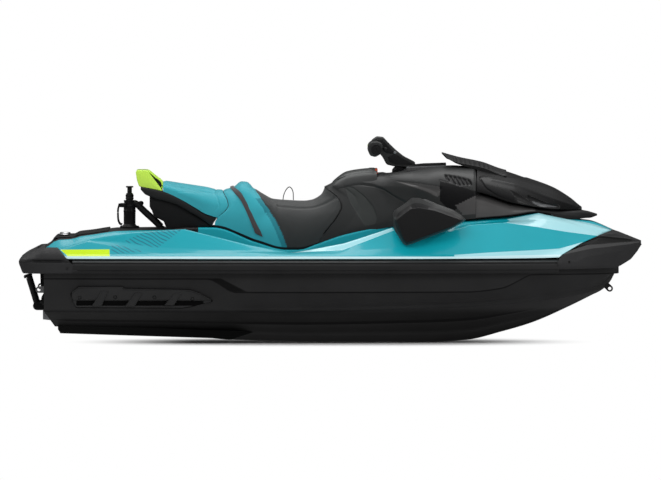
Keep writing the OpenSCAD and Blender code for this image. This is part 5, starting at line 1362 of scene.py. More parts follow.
def passenger_seat_piece():
    """Height low + (top - low) dome(v), x from the cushion's square rear end to the slanted joint with
    the driver's seat, then a seam along each shoulder and one beside the joint."""
    u, v = np.linspace(0, 1, 120)[:, None], spread(81)[None]
    rear = 797
    border = mix(rear, 1109, u)
    low = rear_low(border) + 14.3
    z = low + (rear_top(mix(rear, 1126, u)) - low) * cushion_dome(v)
    P = xyz(mix(rear, seat_rear(z) - 4, u), v * rear_width(border), z)
    seams = [lambda Q: np.abs(np.abs(Q[..., 1]) - 112) + 400 * (Q[..., 2] < 830),
             lambda Q: to_line(Q[..., 0], Q[..., 2], [(1090, 846), (1108, 760), (1046, 690)])]
    S = sewn(P, seams, depth=4, puff=5, narrow=4, wide=34)
    rim = np.minimum(ease(0, 0.05, u), 1 - ease(0.97, 1, u)) * (1 - np.abs(v) ** 40)
    P = mix(P, S, rim[..., None])
    full, under = seat_solid(P, rear_low(P[:, 0, 0]) + 0.3)
    obj = make("passenger_cushion", shell(full, under), [M["seat_teal"]], "rear_seat",
               "passenger_seat", angle=50)


passenger_seat_piece()

# %% Base of the passenger's seat
def side_band(x, low, high, half, swell, front, name, finish, body, node_name):
    """A body between two side-view lines: level under and over, its sides half - 6 + swell sin(pi t)^0.6
    from the centre line at a share t of the height. Its front end follows a slanted line: each point's
    x is drawn along until it meets it."""
    t = np.linspace(0, 1, 12)
    u = ((x - x[0]) / (x[-1] - x[0]))[:, None]
    X = x[:, None] + 0 * t
    for _ in range(4):
        z = mix(low(X), high(X), t)
        X = mix(x[0], front(z), u)
    y = half - 6 + swell * np.sin(np.pi * t) ** 0.6
    side = xyz(X, -y[None], z)
    k = np.linspace(1, -1, 15)
    top = xyz(X[:, -1:], -k[None] * y[-1], z[:, -1:])
    bottom = xyz(X[:, :1], -k[None] * y[0], z[:, :1])
    ring = np.concatenate([side, top[:, 1:-1], mirror(side)[:, ::-1], bottom[:, ::-1][:, 1:-1]], 1)
    make(name, [strip(ring, wrap=True), capped(ring[0]), capped(ring[-1])], [M[finish]], body,
         node_name, angle=35)


side_band(np.linspace(673, 1105, 90), trim_low, lambda q: rear_low(q) - 0.2, 160, 5,
          lambda z: seat_rear(z) - 5, "seat_base_trim", "grey", "rear_seat", "seat_trim")
support_low = line((700, 792), (738, 726), (744, 700), (765, 690), (800, 672), (812, 640), (822, 633),
                   (863, 633),
                   (905, 641), (1060, 641))
side_band(np.linspace(722, 1106, 64), support_low, lambda q: trim_low(q) - 0.3, 140, 4,
          lambda z: np.minimum(seat_rear(z) + 14, 1106), "seat_support_skin", "black", "craft", "seat_support")


# %% Grab handle
def grab_handle_piece():
    """A hoop for swimmers and spotters: two arms beside the cushion joined by a thick cross bar, each arm
    with a thin upper rail over a dark web."""
    bar = loop_smooth([(645, 946), (652, 957), (712, 957), (722, 938), (704, 900), (664, 866), (652, 900)], 60,
                      0.22)
    sole = [(x, rear_low(x) + 0.3) for x in (795, 760, 725, 692)]
    arm = loop_smooth([(652, 957), (709, 957), (718, 944), (784, 858), *sole, (664, 866), (652, 900),
                       (645, 946)], 90, 0.2)
    web = loop_smooth([(706, 950), (722, 944), (789, 886), (792, 846), (770, 850), (712, 930)], 60, 0.15)
    patches = [plate(bar, -140, 140, bevel=12)]
    for s in (-1, 1):
        rail = smooth_path([(x, s * 132, z) for x, z in ((708, 953), (724, 944), (752, 921), (789, 890),
                                                         (792, 850))], 30)
        patches += [plate(arm, s * 126, s * 151, bevel=8, inner_bevel=4), plate(web, s * 122, s * 132, mat=1),
                    strip(tube(rail, 4.6, 14), wrap=True)]
    make("grab_hoop", patches, [M["lime"], M["black"]], "rear_seat", "grab_handle", angle=35)


grab_handle_piece()

# %% [markdown]
# ## Console
#
# The console is one large injection moulding between the seat and the front cover. Its character lies
# in shallow relief: a leaf-shaped inset beside the rider's knee, a raised shoulder that runs forward
# to the cover, and a scoop in it that catches the light. A dense grid is enough to hold these, so
# each relief is a height added along the surface's normal.

# %% Side-view shapes
def within(x, z, outline):
    """Signed side-view distance to a closed outline, positive inside it (counted by crossings)."""
    o = list(outline)
    odd = np.zeros(np.shape(x), bool)
    for (x0, z0), (x1, z1) in zip(o, o[1:] + o[:1]):
        if z0 != z1:
            odd ^= ((z0 > z) != (z1 > z)) & (x < (x1 - x0) * (z - z0) / (z1 - z0) + x0)
    d = to_line(x, z, o + o[:1])
    return np.where(odd, d, -d)


def fair(outline, n=90, r=0.3):
    """A rounded outline as a list of n points."""
    return [tuple(p) for p in loop_smooth(outline, n, r)]


# %% Console
console_top = curve((1694, 865), (1725, 880), (1760, 903), (1818, 928), (1981, 941), (2050, 946), (2150, 951),
                    (2240, 960), (2347, 975), (2528, 966))
console_width = curve((1694, 186), (1900, 203), (2050, 214), (2160, 245), (2300, 330), (2528, 380))
LEAF = fair([(1805, 871), (1850, 862), (1915, 812), (1962, 756), (1984, 700), (1976, 660), (1915, 648),
             (1880, 705), (1828, 790)])
SHOULDER = fair([(1858, 897), (1925, 917), (2010, 938), (2150, 962), (2300, 975), (2600, 990), (2600, 640),
                 (2300, 700),
                 (2142, 779), (2079, 812), (2020, 850), (1962, 868), (1880, 880)], 200, 0.12)
SCOOP = fair([(2068, 898), (2200, 888), (2351, 868), (2345, 840), (2318, 806), (2260, 838), (2150, 872)], 80,
             0.25)
VENT = fair([(2352, 934), (2440, 920), (2500, 904), (2516, 872), (2440, 868), (2395, 884), (2360, 904)], 70,
            0.25)
FRONT_PANEL = [(2330, 900), (2420, 880), (2520, 846), (2600, 830), (2600, 780), (2524, 818), (2440, 768),
               (2400, 720), (2330, 790)]
PALE_PANEL = [(2416, 765), (2524, 818), (2700, 790), (2700, 640), (2497, 660)]
GLOVE_X, GLOVE_HALF, GLOVE_FLOOR = (1765, 1915), 72, 830
CONSOLE_X, CONSOLE_FOOT = (1694, 2528), (1648, 2528)
COLUMN_FOOT = np.array([2120.0, 0, 945])
COLUMN_LEAN = math.radians(35)
COLUMN_AXIS = np.array([-math.sin(COLUMN_LEAN), 0, math.cos(COLUMN_LEAN)])


def console_point(u, v):
    """Height as on the seat at the rear border, squarer further forward where the shoulders stand up."""
    foot, x = mix(*CONSOLE_FOOT, u), mix(*CONSOLE_X, u)
    low = middle(foot) + SKIRT
    k = np.minimum(1, u / 0.12)
    square = ease(1960, 2170, x)
    d = dome(v, mix(mix(3.2, 2.6, k), 4.4, square), mix(mix(1.9, 1.35, k), 2.1, square))
    z = low + (console_top(x) - low) * d
    return xyz(mix(seat_front(z) + 3, CONSOLE_X[1], u), v * console_width(x), z), x


def console_piece():
    """The console's dome with relief along its normal: depth times ease(distance to each outline), and
    depth exp(-(distance / width)^2) for the grooves beside them. Openings are left for the glovebox
    and the steering column, and each gets a lining."""
    u, v = np.linspace(0, 1, 330)[:, None], spread(241, 1.5)[None]
    P = console_point(u, v)[0]
    X, Z, Y = P[..., 0], P[..., 2], np.abs(P[..., 1])
    h = -2.6 * ease(-2.5, 2.5, within(X, Z, LEAF))
    side = ease(60, 110, Y)
    shoulder = within(X, Z, SHOULDER)
    h = h + 7 * ease(-1, 9, shoulder) * side - 2.2 * np.exp(-((shoulder + 3) / 2.6) ** 2) * side
    scoop = within(X, Z, SCOOP)
    h = h - 9 * ease(-2, 26, scoop) * side
    h = h - 2.0 * np.exp(-(within(X, Z, FRONT_PANEL) / 2.4) ** 2) * side
    h = h - (7 + 3 * np.cos((X + 0.6 * Z) / 3.6)) * ease(-2, 8, within(X, Z, VENT)) * side
    skirt = [(1655, 560), (1700, 566), (1778, 577), (1900, 610), (2020, 640), (2110, 655)]
    h = h + 3.5 * (1 - ease(-1.5, 2.5, Z - np.interp(X, *zip(*skirt)))) * (X < 2130)
    h = h - 6 * (1 - ease(80, 110, Y)) * ease(2010, 2040, X) * (1 - ease(2225, 2250, X))
    rim = np.minimum(ease(0, 0.012, u), 1 - ease(0.985, 1, u)) * (1 - np.abs(v) ** 30)
    P = raised(P, h * rim)
    c = centres(P)
    cx, cy, cz = c[..., 0], np.abs(c[..., 1]), c[..., 2]
    mat = np.zeros(c.shape[:2], int)
    mat[within(cx, cz, LEAF) > 0] = 1
    # painted highlight: the scoop takes the lighter gloss grey; the grey panel's colour is its own
    for outline, clear, number in ((SCOOP, 2, 2), (FRONT_PANEL, 0, 3), (PALE_PANEL, 0, 2), (VENT, 0, 4)):
        mat[(within(cx, cz, outline) > clear) & (cy > 80)] = number
    off_axis = np.linalg.norm(np.cross(c - COLUMN_FOOT, COLUMN_AXIS), axis=-1)
    hole = (cx > GLOVE_X[0] - 2) & (cx < GLOVE_X[1] + 2) & (cy < GLOVE_HALF + 2) | (off_axis < 54) & (cz > 860)
    full, under = seat_solid(P, middle(np.linspace(*CONSOLE_FOOT, 330)) + 0.3)
    mat, hole = (np.pad(a, ((0, 0), (2, 2))) for a in (mat, hole))
    patches = [strip(full, mat=mat, keep=~hole)]
    patches += [strip(np.stack([full[i], under[i]], 1)) for i in (0, -1)]
    # lining of the glovebox: a rounded rectangle carried down to its floor
    ring = loop_smooth(rectangle(*GLOVE_X, GLOVE_HALF), 80, 0.08)
    roof = console_top(ring[:, 0]) - 55 * (np.abs(ring[:, 1]) / 200) ** 2.6
    lining = np.concatenate([stacked(ring, ((1.09, -3), (1.07, 0.6), (1.02, 0.6), (1.0, -3)), roof),
                             stacked(ring, ((0.97, 8), (0.93, 0), (0.0, 0)), GLOVE_FLOOR)])
    patches.append(strip(lining, wrap=True, mat=4))
    # collar round the steering column, closed below
    cup = [(-16, 64), (-2, 60), (4, 56), (4, 52), (-40, 51), (-44, 46), (-44, 24)]
    patches.append(turned(cup, COLUMN_FOOT, COLUMN_AXIS, 48, mat=4))
    make("console_moulding", patches, [M["console"], M["leaf"], M["gloss"], M["hull_dark"], M["black"]],
         "craft",
         "console", angle=34, outward=False)


console_piece()

# %% Glovebox lid
LID_X = (1737, 1983)


def lid_piece():
    """Over the console's top, crowned, with a raised tray edge and two latch posts: the console's own
    surface lifted by 1.6 + crown (1 - 0.72 n^5), with n the share of the half width."""
    x0, x1 = LID_X
    u = (np.linspace(x0, x1, 70)[:, None] - CONSOLE_X[0]) / (CONSOLE_X[1] - CONSOLE_X[0])
    v = np.linspace(-0.6, 0.6, 61)[None]
    P, x = console_point(u, v)
    s, n = (x - x0) / (x1 - x0), np.abs(v / 0.6)
    crown = curve((0, 2), (0.2, 14), (0.45, 22), (0.8, 26), (1, 24))(s)
    lift = 1.6 + crown * (1 - 0.72 * n ** 5)
    lift = lift - 2.2 * np.exp(-((n - 0.62) / 0.03) ** 2) * ease(0.12, 0.2, s) * (1 - ease(0.9, 0.96, s))
    lift = lift + 2 * ease(0.8, 0.84, s) * (1 - ease(0.92, 0.95, s)) * (n < 0.5)
    top, under = P + lift[..., None] * [0, 0, 1], P + [0, 0, 0.5]
    mat = np.zeros((69, 60), int)
    nv = np.abs(v[0, :-1] + v[0, 1:]) / 1.2
    mat[:, nv > 0.8] = 1
    patches = shell(top, under, mat=mat, under_mat=1)
    end_z = top[-4, 15, 2]
    post = [(-22, 0), (-22, 6.5), (-20, 7.5), (2, 7.5), (6, 6), (8, 0)]
    patches += [turned(post, (1979, s * 66, end_z), (0, 0, 1), 24, mat=2) for s in (-1, 1)]
    make("glovebox_cover", patches, [M["leaf"], M["console"], M["orange"]], "glovebox",
         "glovebox_lid", angle=40)


lid_piece()

# %% Instrument display
def gauge_piece():
    """A rounded slab on the console with a sunken screen: its rings rise by the console's slope in x."""
    lo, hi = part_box("gauge")
    x0, x1, z0 = from_frame(lo.x, "x"), from_frame(hi.x, "x"), from_frame(lo.z, "z")
    slope = (console_top(x1) - console_top(x0)) / (x1 - x0)
    steps = ((0, 0), (0.97, 0), (1, 3), (1, 9), (0.985, 12), (0.93, 12.6), (0.92, 11.4), (0.0, 11.4))
    P = stacked(loop_smooth(rectangle(x0, x1, 75), 72, 0.16), steps, z0 + 1)
    P[..., 2] += slope * (P[..., 0] - x0)
    mat = np.zeros((len(steps) - 1, 1), int)
    mat[-1] = 1
    make("display", [strip(P, wrap=True, mat=mat)], [M["black"], M["screen"]], "craft", "gauge",
         angle=30)


gauge_piece()


def bezel_piece():
    """Walls along both sides of the instruments: a satin strip, black above it, and three slanted lime bars."""
    ends = (2146, 2366)
    x = np.linspace(*ends, 24)
    z, y, base = (np.interp(x, ends, pair) for pair in ((974, 984), (132, 150), (940, 952)))
    top = np.interp(x, [2146, 2190, 2240, 2366], [975, 984, 989, 993])
    section = ((y + 16, base - 6), (y + 2, z - 7), (y, z - 5.5), (y, z), (y - 2, z + 1), (y - 3, top),
               (y - 9, top + 1), (y - 15, base))
    mat = np.array([[0, 0, 1, 0, 0, 0, 0, 0]])
    patches = []
    for s in (-1, 1):
        P = np.stack([xyz(x, s * side, height) for side, height in section], 1)
        patches += [strip(P, wrap=True, mat=mat), capped(P[0]), capped(P[-1])]
        for k in range(3):
            x0 = 2296 + k * 21
            bar = loop_smooth([(x0, 946), (x0 + 11, 946), (x0 + 24, 972), (x0 + 13, 972)], 40, 0.1)
            patches.append(plate(bar, s * 156, s * (163 + k), bevel=1, mat=2))
    make("instrument_bezel", patches, [M["black"], M["alloy"], M["lime"]], "craft", angle=30)


bezel_piece()

# %% [markdown]
# ## Nose and front cover
#
# The front cover is a large hinged lid over the storage bin. Its skin is a domed section between a top
# line and a border line; a leaf-shaped panel, a scoop and two lenses are relief on it. The fairing
# below it is a collar with the bin's opening in it.

# %% Nose fairing
hood_top = curve((2536, 985), (2600, 968), (2700, 945), (2790, 915), (2954, 857), (3044, 805), (3119, 748))
hood_edge = curve((2536, 836), (2561, 832), (2733, 778), (2995, 738), (3119, 734))
hood_width = curve((2536, 348), (2733, 330), (2900, 250), (3000, 190), (3119, 78))
fairing_base = curve((2529, 692), (2600, 698), (2680, 704), (2760, 713), (2855, 725), (2925, 719), (2995, 704),
                     (3158, 690), (3204, 703))
fairing_width = curve((2529, 372), (2600, 350), (2733, 312), (2855, 250), (2950, 215), (3100, 140), (3204, 55))


HOOD_X = (2536, 3119)
FAIRING_X = (2529, 3204)


def fairing_top(x):
    """The cover's border less 0.6, and straight lines down to the bow ahead of it."""
    return np.where(x <= HOOD_X[1], hood_edge(x) - 0.6, np.interp(x, [3119, 3158, 3204], [733.4, 726, 712]))


def fairing_piece():
    """A squarish dome, low + (top - low) (1 - |v|^9)^(1/2.2), over a flat sole, with the bin's opening
    left out of both and a gasket round it."""
    lo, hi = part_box("storage_bin")
    bx0, bx1, bh = from_frame(lo.x, "x") - 1, from_frame(hi.x, "x") + 1, from_frame(hi.y, "y") + 1
    x = np.unique(np.concatenate([np.linspace(*FAIRING_X, 150), [bx0, bx1]]))[:, None]
    v = spread(141, 2.2)[None]
    low = fairing_base(x) + 5.3
    P = xyz(x, v * fairing_width(x), low + (fairing_top(x) - low) * dome(v, 9, 2.2))
    c = centres(P)
    clear = ~((c[..., 0] > bx0) & (c[..., 0] < bx1) & (np.abs(c[..., 1]) < bh))
    sole = fairing_base(x) + 0.3
    sole = mix(sole, np.minimum(sole, middle(x) + 0.4), ease(2940, 2980, x) * (1 - ease(3080, 3150, x)))
    under = xyz(x, P[..., 1], sole)
    mat = ((c[..., 2] < fairing_top(c[..., 0]) - 9) & (c[..., 0] < 2860)).astype(int)
    patches = [strip(P, mat=mat, keep=clear), strip(under, keep=clear)]
    patches += [strip(np.stack([P[i], under[i]], 1)) for i in (0, -1)]
    patches += [strip(np.stack([P[:, j], under[:, j]], 1)) for j in (0, -1)]
    ring = loop_smooth(rectangle(bx0, bx1, bh), 120, 0.03)
    gasket = ((1.05, -8), (1.04, 0), (1.015, 0), (1.0, -3), (1.0, -22))
    patches.append(strip(stacked(ring, gasket, hood_edge(ring[:, 0]) - 1.2), wrap=True, mat=2))
    make("nose_collar", patches, [M["black"], M["gloss"], M["rail"]], "craft", "nose_fairing",
         angle=34, outward=False)


fairing_piece()


def bulkhead_piece():
    """A dark wall under the cover's rear edge, 8 mm inside its shell, so that no daylight shows between
    the console and the cover."""
    v = spread(81)
    rear, front = 2530.0, 2548.0
    y = v * (hood_width(front) - 34)
    top = np.maximum(hood_height(front, v) - 11 - 10 * hood_dome(v), 760)
    rows = []
    for x, k in ((rear, 0), (rear, 1), (front, 1), (front, 0)):
        edge = np.concatenate([xyz(x, y, top), xyz(x, y[::-1], 742)])
        rows.append(mix(np.array([x, 0, 850.0]), edge, k))
    make("cover_bulkhead", [strip(np.stack(rows), wrap=True)], [M["rail"]], "craft", angle=40)


# %% Front cover
HOOD_LEAF = fair([(2548, 918), (2620, 925), (2700, 915), (2830, 912), (2950, 868), (3050, 812), (3112, 750),
                  (3080, 738), (2990, 742),
                  (2864, 756), (2752, 778), (2660, 812), (2585, 860)], 160, 0.2)
HOOD_SCOOP = fair([(2716, 846), (2748, 832), (2790, 812), (2840, 780), (2900, 757), (2850, 757), (2800, 776),
                   (2745, 808)], 80, 0.25)
HOOD_LENS = fair([(2812, 818), (2862, 798), (2915, 776), (2986, 763), (2996, 742), (2890, 748), (2836, 776)],
                 80, 0.25)
LENS_GLASS = fair([(2836, 790), (2880, 776), (2950, 762), (2985, 752), (2895, 754), (2850, 772)], 60, 0.25)


def hood_dome(v):
    """The cover's section: (1 - |v|^2.6)^(1/1.5)."""
    return dome(v, 2.6, 1.5)


def hood_height(x, v):
    """Border height + (top - border) hood_dome(v) + 3."""
    low = hood_edge(x)
    return low + (hood_top(x) - low) * hood_dome(v) + 3


def hood_piece():
    """The dome with relief along its normal: steps of ease(distance to each outline) and a rounded
    crease, 3 exp(-(d / 9)^2). The inside follows it, up to 24 thinner."""
    x, v = np.linspace(*HOOD_X, 236)[:, None], spread(191, 1.5)[None]
    P = xyz(x, v * hood_width(x), hood_height(x, v))
    X, Z, Y = P[..., 0], P[..., 2], np.abs(P[..., 1])
    leaf = within(X, Z, HOOD_LEAF)
    off = ease(30, 60, Y)
    h = 4.5 * ease(-1, 4, leaf) * off - 2.4 * np.exp(-((leaf + 3) / 2.6) ** 2) * off
    h = h - 11 * ease(-2, 12, within(X, Z, HOOD_SCOOP))
    h = h - 12 * ease(-3, 5, within(X, Z, HOOD_LENS)) + 8 * ease(-1, 6, within(X, Z, LENS_GLASS))
    crease = to_line(X, Z, [(2620, 903), (2760, 872), (2900, 815), (3060, 758)])
    h = h + 3.0 * np.exp(-(crease / 9) ** 2) * off
    s = (x - HOOD_X[0]) / (HOOD_X[1] - HOOD_X[0])
    rim = np.minimum(ease(0, 0.02, s), 1 - ease(0.97, 1, s)) * (1 - np.abs(v) ** 30)
    P = raised(P, h * rim)
    wall = 24 * np.minimum(1, (3150 - x) / 300 + 0.2)
    under = xyz(x, v * (hood_width(x) - wall * 0.9), hood_height(x, v) - 3 - wall * hood_dome(v))
    c = centres(P)
    cx, cz = c[..., 0], c[..., 2]
    mat = np.zeros(c.shape[:2], int)
    mat[within(cx, cz, HOOD_LEAF) > 0] = 1
    mat[(within(cx, cz, HOOD_SCOOP) > 0) | (within(cx, cz, HOOD_LENS) > 0)] = 2
    # the lens glass is light grey: partly the lens's own look, partly painted reflection
    mat[within(cx, cz, LENS_GLASS) > 0] = 3
    make("cover_skin", shell(P, under, mat=mat, under_mat=2), [M["hull_dark"], M["hood"], M["black"],
                                                               M["lamp"]],
         "front_cover", "hood", angle=34)


hood_piece()
bulkhead_piece()

# %% Deflector
DEFLECTOR_X = (2342, 2700)
deflector_top = curve((2342, 1054), (2442, 1027), (2536, 1008), (2636, 982), (2700, 960))


def deflector_piece():
    """Stands free over the instruments at the rear and lies on the cover in front. Its free height is
    deflector_top(x) - 70 v^2, and the louvres across it are a saw-tooth 26 long and 6.5 deep."""
    (x0, x1), cover = DEFLECTOR_X, HOOD_X[0]
    x, v = np.linspace(x0, x1, 150)[:, None], np.linspace(-0.6, 0.6, 101)[None]
    free_top = deflector_top(x) - 70 * v ** 2
    on = ease(2490, 2540, x)
    seat_z = hood_height(np.maximum(x, cover), v)
    width = np.where(x < cover, mix(330, 348, (x - x0) / (cover - x0)), hood_width(x))
    top = np.where(x >= cover, np.maximum(free_top, seat_z + 5.3), free_top)
    below = free_top - mix(8, 19, np.clip((x - x0) / 148, 0, 1))
    under = np.where(x >= cover, seat_z + 0.3, mix(below, np.minimum(below, seat_z + 0.3), on))
    n = np.abs(v) / 0.6
    top = mix(top, np.minimum(top, seat_z + 7), ease(2560, x1, x))
    louvre = ease(2395, 2410, x) * (1 - ease(2600, 2620, x)) * (1 - ease(0.9, 0.97, n)) * ease(0.12, 0.2, n)
    saw = 6.5 * np.abs(((x - 2400) / 26) % 1 - 0.5) * 2 * louvre
    edge = 5 * np.exp(-((1 - n) / 0.08) ** 2)
    s = (x - x0) / (x1 - x0)
    rim = np.minimum(ease(0, 0.03, s), 1 - ease(0.93, 1, s))
    top = np.maximum(top - (saw + edge) * rim, under + 2)
    # the rear edge sweeps forward towards the sides
    swept = x + 26 * n ** 2 * (1 - ease(x0, 2440, x))
    T, U = xyz(swept, v * width, top), xyz(swept, v * width, under)
    make("wind_deflector", shell(T, U), [M["black"]], "front_cover", "hood_deflector",
         angle=34)


deflector_piece()

# %% [markdown]
# ## Mirror pods
#
# Each pod is a wedge on a neck. Its outline is turned into a distance for every direction from a
# centre, so outlines of different shapes can be lofted one into the next without their points
# slipping round.

# %% Mirrors
def spokes(outline, centre, n=120):
    """Points of a star-shaped outline at n even angles about a centre: the ray's nearest crossing."""
    a = np.linspace(0, 2 * np.pi, n, endpoint=False)
    d = np.stack([np.cos(a), np.sin(a)], 1)
    best = np.full(n, 1e9)
    o = [np.array(p, float) - centre for p in outline]
    for p, q in zip(o, o[1:] + o[:1]):
        e = q - p
        den = d[:, 0] * e[1] - d[:, 1] * e[0]
        den = np.where(np.abs(den) < 1e-9, 1e-9, den)
        r = (p[0] * e[1] - p[1] * e[0]) / den
        t = (p[0] * d[:, 1] - p[1] * d[:, 0]) / den
        ok = (r > 0) & (t >= -1e-9) & (t <= 1 + 1e-9)
        best = np.where(ok, np.minimum(best, r), best)
    best = np.where(best > 1e8, np.median(best), best)
    return np.array(centre) + d * best[:, None]


MIRROR_RIM = [(2070, 723), (2079, 741), (2137, 780), (2174, 811), (2219, 809), (2302, 773), (2410, 735),
              (2480, 690), (2398, 641),
              (2143, 544), (2124, 559), (2073, 639)]
MIRROR_FACE = [(2086, 690), (2120, 716), (2168, 752), (2215, 757), (2300, 742), (2395, 708), (2452, 688),
               (2394, 650), (2150, 562), (2128, 580)]


MIRROR_C = (2230, 690)


def mirror_piece(side, word):
    """Rings from the neck's root outwards: an outline scaled by k about the pod's centre, carried to
    another centre along the neck, at a half breadth y."""
    rim, face = (spokes(fair(outline, 160, 0.16), MIRROR_C) for outline in (MIRROR_RIM, MIRROR_FACE))

    def ring(y, outline, k=1.0, at=MIRROR_C):
        """The outline scaled by k and moved to at."""
        o = (outline - np.array(MIRROR_C)) * k + at
        return xyz(o[:, 0], side * y, o[:, 1])

    neck = ((322, 0.0, (2300, 752)), (322, 0.17, (2300, 752)), (400, 0.24, (2302, 746)),
            (440, 0.38, (2300, 738)),
            (490, 0.8, (2262, 706)))
    rows = [ring(y, rim, k, at) for y, k, at in neck]
    rows += [ring(y, rim, k) for y, k in ((505, 0.93), (515, 0.975), (528, 0.995), (545, 1), (554, 0.995))]
    rows.append(mix(ring(556, rim, 0.99), ring(582, face), 0.5) + [0, side * 2, 0])
    rows += [ring(y, face, k) for y, k in ((583, 1.01), (587, 0.98), (589, 0.8), (590, 0.4), (590, 0.0))]
    mat = np.zeros((len(rows) - 1, 1), int)
    mat[10:] = 1
    make(f"mirror_pod_{word}", [strip(np.stack(rows), wrap=True, mat=mat)], [M["console"], M["black"]], "craft",
         f"mirror_{word}", angle=30)


for side, word in SIDES:
    mirror_piece(side, word)

# %% [markdown]
# ## Steering
#
# The bars sit on a tall tilted head, with a padded cover over the clamp. The grips carry rubber ribs
# and an end flange, and the pods beside them hold the switches. Round pieces are profiles turned
# about their axis, and the head is a plate with deep rounded edges.

# %% Steering head
BAR = np.array([1978.0, 0, 1076])


def around_column(offsets, n, r):
    """A rounded side-view outline given as offsets from the column's foot."""
    return loop_smooth([(COLUMN_FOOT[0] + x, COLUMN_FOOT[2] + z) for x, z in offsets], n, r)


def steering_head_piece():
    """The head is a thick plate, and its pads are thin ones on both faces. The bellows are a profile
    turned about the column: six ribs, a radius of 45.6 at their crests and 41 between them."""
    head = [(-172, 156), (-166, 178), (-139, 197), (-102, 193), (-78, 166), (-33, 122), (12, 86), (76, 54),
            (72, 34), (40, 24),
            (-40, 30), (-84, 40), (-108, 84), (-128, 108), (-150, 122), (-168, 140)]
    pad = [(-150, 158), (-136, 182), (-108, 180), (-84, 154), (-40, 112), (-52, 98), (-92, 108), (-130, 140)]
    front = [(-36, 102), (8, 74), (62, 48), (58, 40), (-30, 40), (-70, 56), (-78, 84)]
    bolt = [(0, 7), (2.5, 7), (3.5, 5), (1.5, 4), (1.5, 0)]
    patches = [plate(around_column(head, 120, 0.22), -54, 54, bevel=14, n=5)]
    for s in (-1, 1):
        patches += [plate(around_column(pad, 90, 0.25), s * 46, s * 57.5, bevel=4, mat=1),
                    plate(around_column(front, 90, 0.2), s * 46, s * 56.5, bevel=3.5, mat=1),
                    turned(bolt, (2082, s * 55, 1052), (0, s, 0), 16, mat=2)]
    bellows = [(-150, 0), (-150, 19.6), (-21, 19.6), (-20, 36)]
    for k in range(6):
        bellows += [(-17 + k * 9.4, 45.6), (-12.4 + k * 9.4, 41)]
    bellows += [(40, 38), (46, 20), (46, 0)]
    patches.append(turned(bellows, COLUMN_FOOT, COLUMN_AXIS, 48, mat=3))
    make("steering_head", patches, [M["console"], M["black"], M["steel"], M["rail"]], "steering",
         "steering_arm", angle=34)


steering_head_piece()

# %% Bars, grips and pods
def bars_piece():
    """A round bar out of each side of the head, thicker at its root."""
    bar = [(58.4, 0), (58.4, 15), (64, 15), (67, 11), (387, 11), (388, 10), (388, 0)]
    make("bars", [turned(bar, BAR, (0, s, 0), 28) for s in (-1, 1)], [M["tube"]], "steering",
         "handlebar", angle=34)


def grips_piece():
    """Rubber sleeves: 17 shallow ribs, an inner flange and a stepped end flange."""
    sleeve = [(272, 11.3), (272, 23), (275, 25), (279, 25), (282, 18)]
    for k in range(17):
        a = 286 + k * 5.4
        sleeve += [(a, 16.6), (a + 1.3, 18), (a + 3.8, 18), (a + 5, 16.6)]
    sleeve += [(380, 18), (383, 27), (386, 29.5), (391, 29.5), (393.5, 27), (394, 23), (392, 21), (392, 16),
               (394, 14.5), (394, 7), (391, 5.5), (391, 0)]
    mat = np.zeros((len(sleeve) - 1, 1), int)
    mat[-5:] = 1
    make("rubber_grips", [turned(sleeve, BAR, (0, s, 0), 48, mat) for s in (-1, 1)], [M["grip"], M["black"]],
         "steering", "grips", angle=36)


def pods_piece():
    """Switch pods: a rounded clamp round the bar, a raised switch panel and four buttons each."""
    body = loop_smooth([(1930, 1070), (1933, 1098), (1952, 1116), (1986, 1118), (2012, 1106), (2016, 1076),
                        (2002, 1046), (1974, 1030), (1944, 1038)], 80, 0.3)
    panel = loop_smooth([(1932, 1068), (1934, 1096), (1944, 1104), (1950, 1096), (1950, 1062), (1942, 1056)],
                        60, 0.3)
    button = [(-3, 5.5), (2.4, 5.5), (3.4, 4.2), (3.4, 0)]
    clamp = [(262, 22), (262, 27), (266, 28), (269, 27), (270, 14)]
    patches = []
    for s in (-1, 1):
        patches += [plate(body, s * 192, s * 260, bevel=12, inner_bevel=8, n=5),
                    plate(panel, s * 202, s * 252, mat=1)]
        for z in (1088, 1073):
            for y in (216, 236):
                lime = (z, y, s) == (1088, 216, 1)
                patches.append(turned(button, (1934, s * y, z), (-1, 0, 0.08), 16, mat=2 if lime else 0))
        patches.append(turned(clamp, BAR, (0, s, 0), 36, mat=1))
    make("switch_pods", patches, [M["console"], M["black"], M["lime"]], "steering",
         "control_pods", angle=34)


def lever_piece(side, name, node_name):
    """A blade on a curved path ahead of the grip, 14 mm high and 8 mm thick, its tip turned outwards."""
    knots = [(2015, 206, 1076), (2020, 222, 1077), (2027, 250, 1077), (2032, 290, 1077), (2033.5, 330, 1077),
             (2030, 354, 1077), (2026, 365, 1077)]
    path = smooth_path(knots, 60) * [1, side, 1]
    radius = 4.2 - 1.2 * ease(0.85, 1, np.linspace(0, 1, 60))
    boss = [(-6.6, 0), (-6.6, 9), (-5, 10), (5, 10), (6.6, 9), (6.6, 0)]
    make(name, stretched_tube(path, radius, 20, [1, 1, 1.62]) + [turned(boss, (2024, side * 216, 1077),
                                                                        (0, 0, 1), 28)],
         [M["tube"]], "steering", node_name, angle=40)


bars_piece()
grips_piece()
pods_piece()
lever_piece(-1, "throttle_blade", "throttle_lever")
lever_piece(1, "brake_blade", "brake_lever")

# %% [markdown]
# ## Tow pylon
#
# A post slides up out of a socket, which two braces stiffen forwards. The socket is fluted plastic,
# the braces are flattened tubes with feet, and the spotter holds two loops behind.

# %% Pylon
POST_X = 610.0
BASE_Z = from_frame(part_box("pylon_base")[0].z, "z")


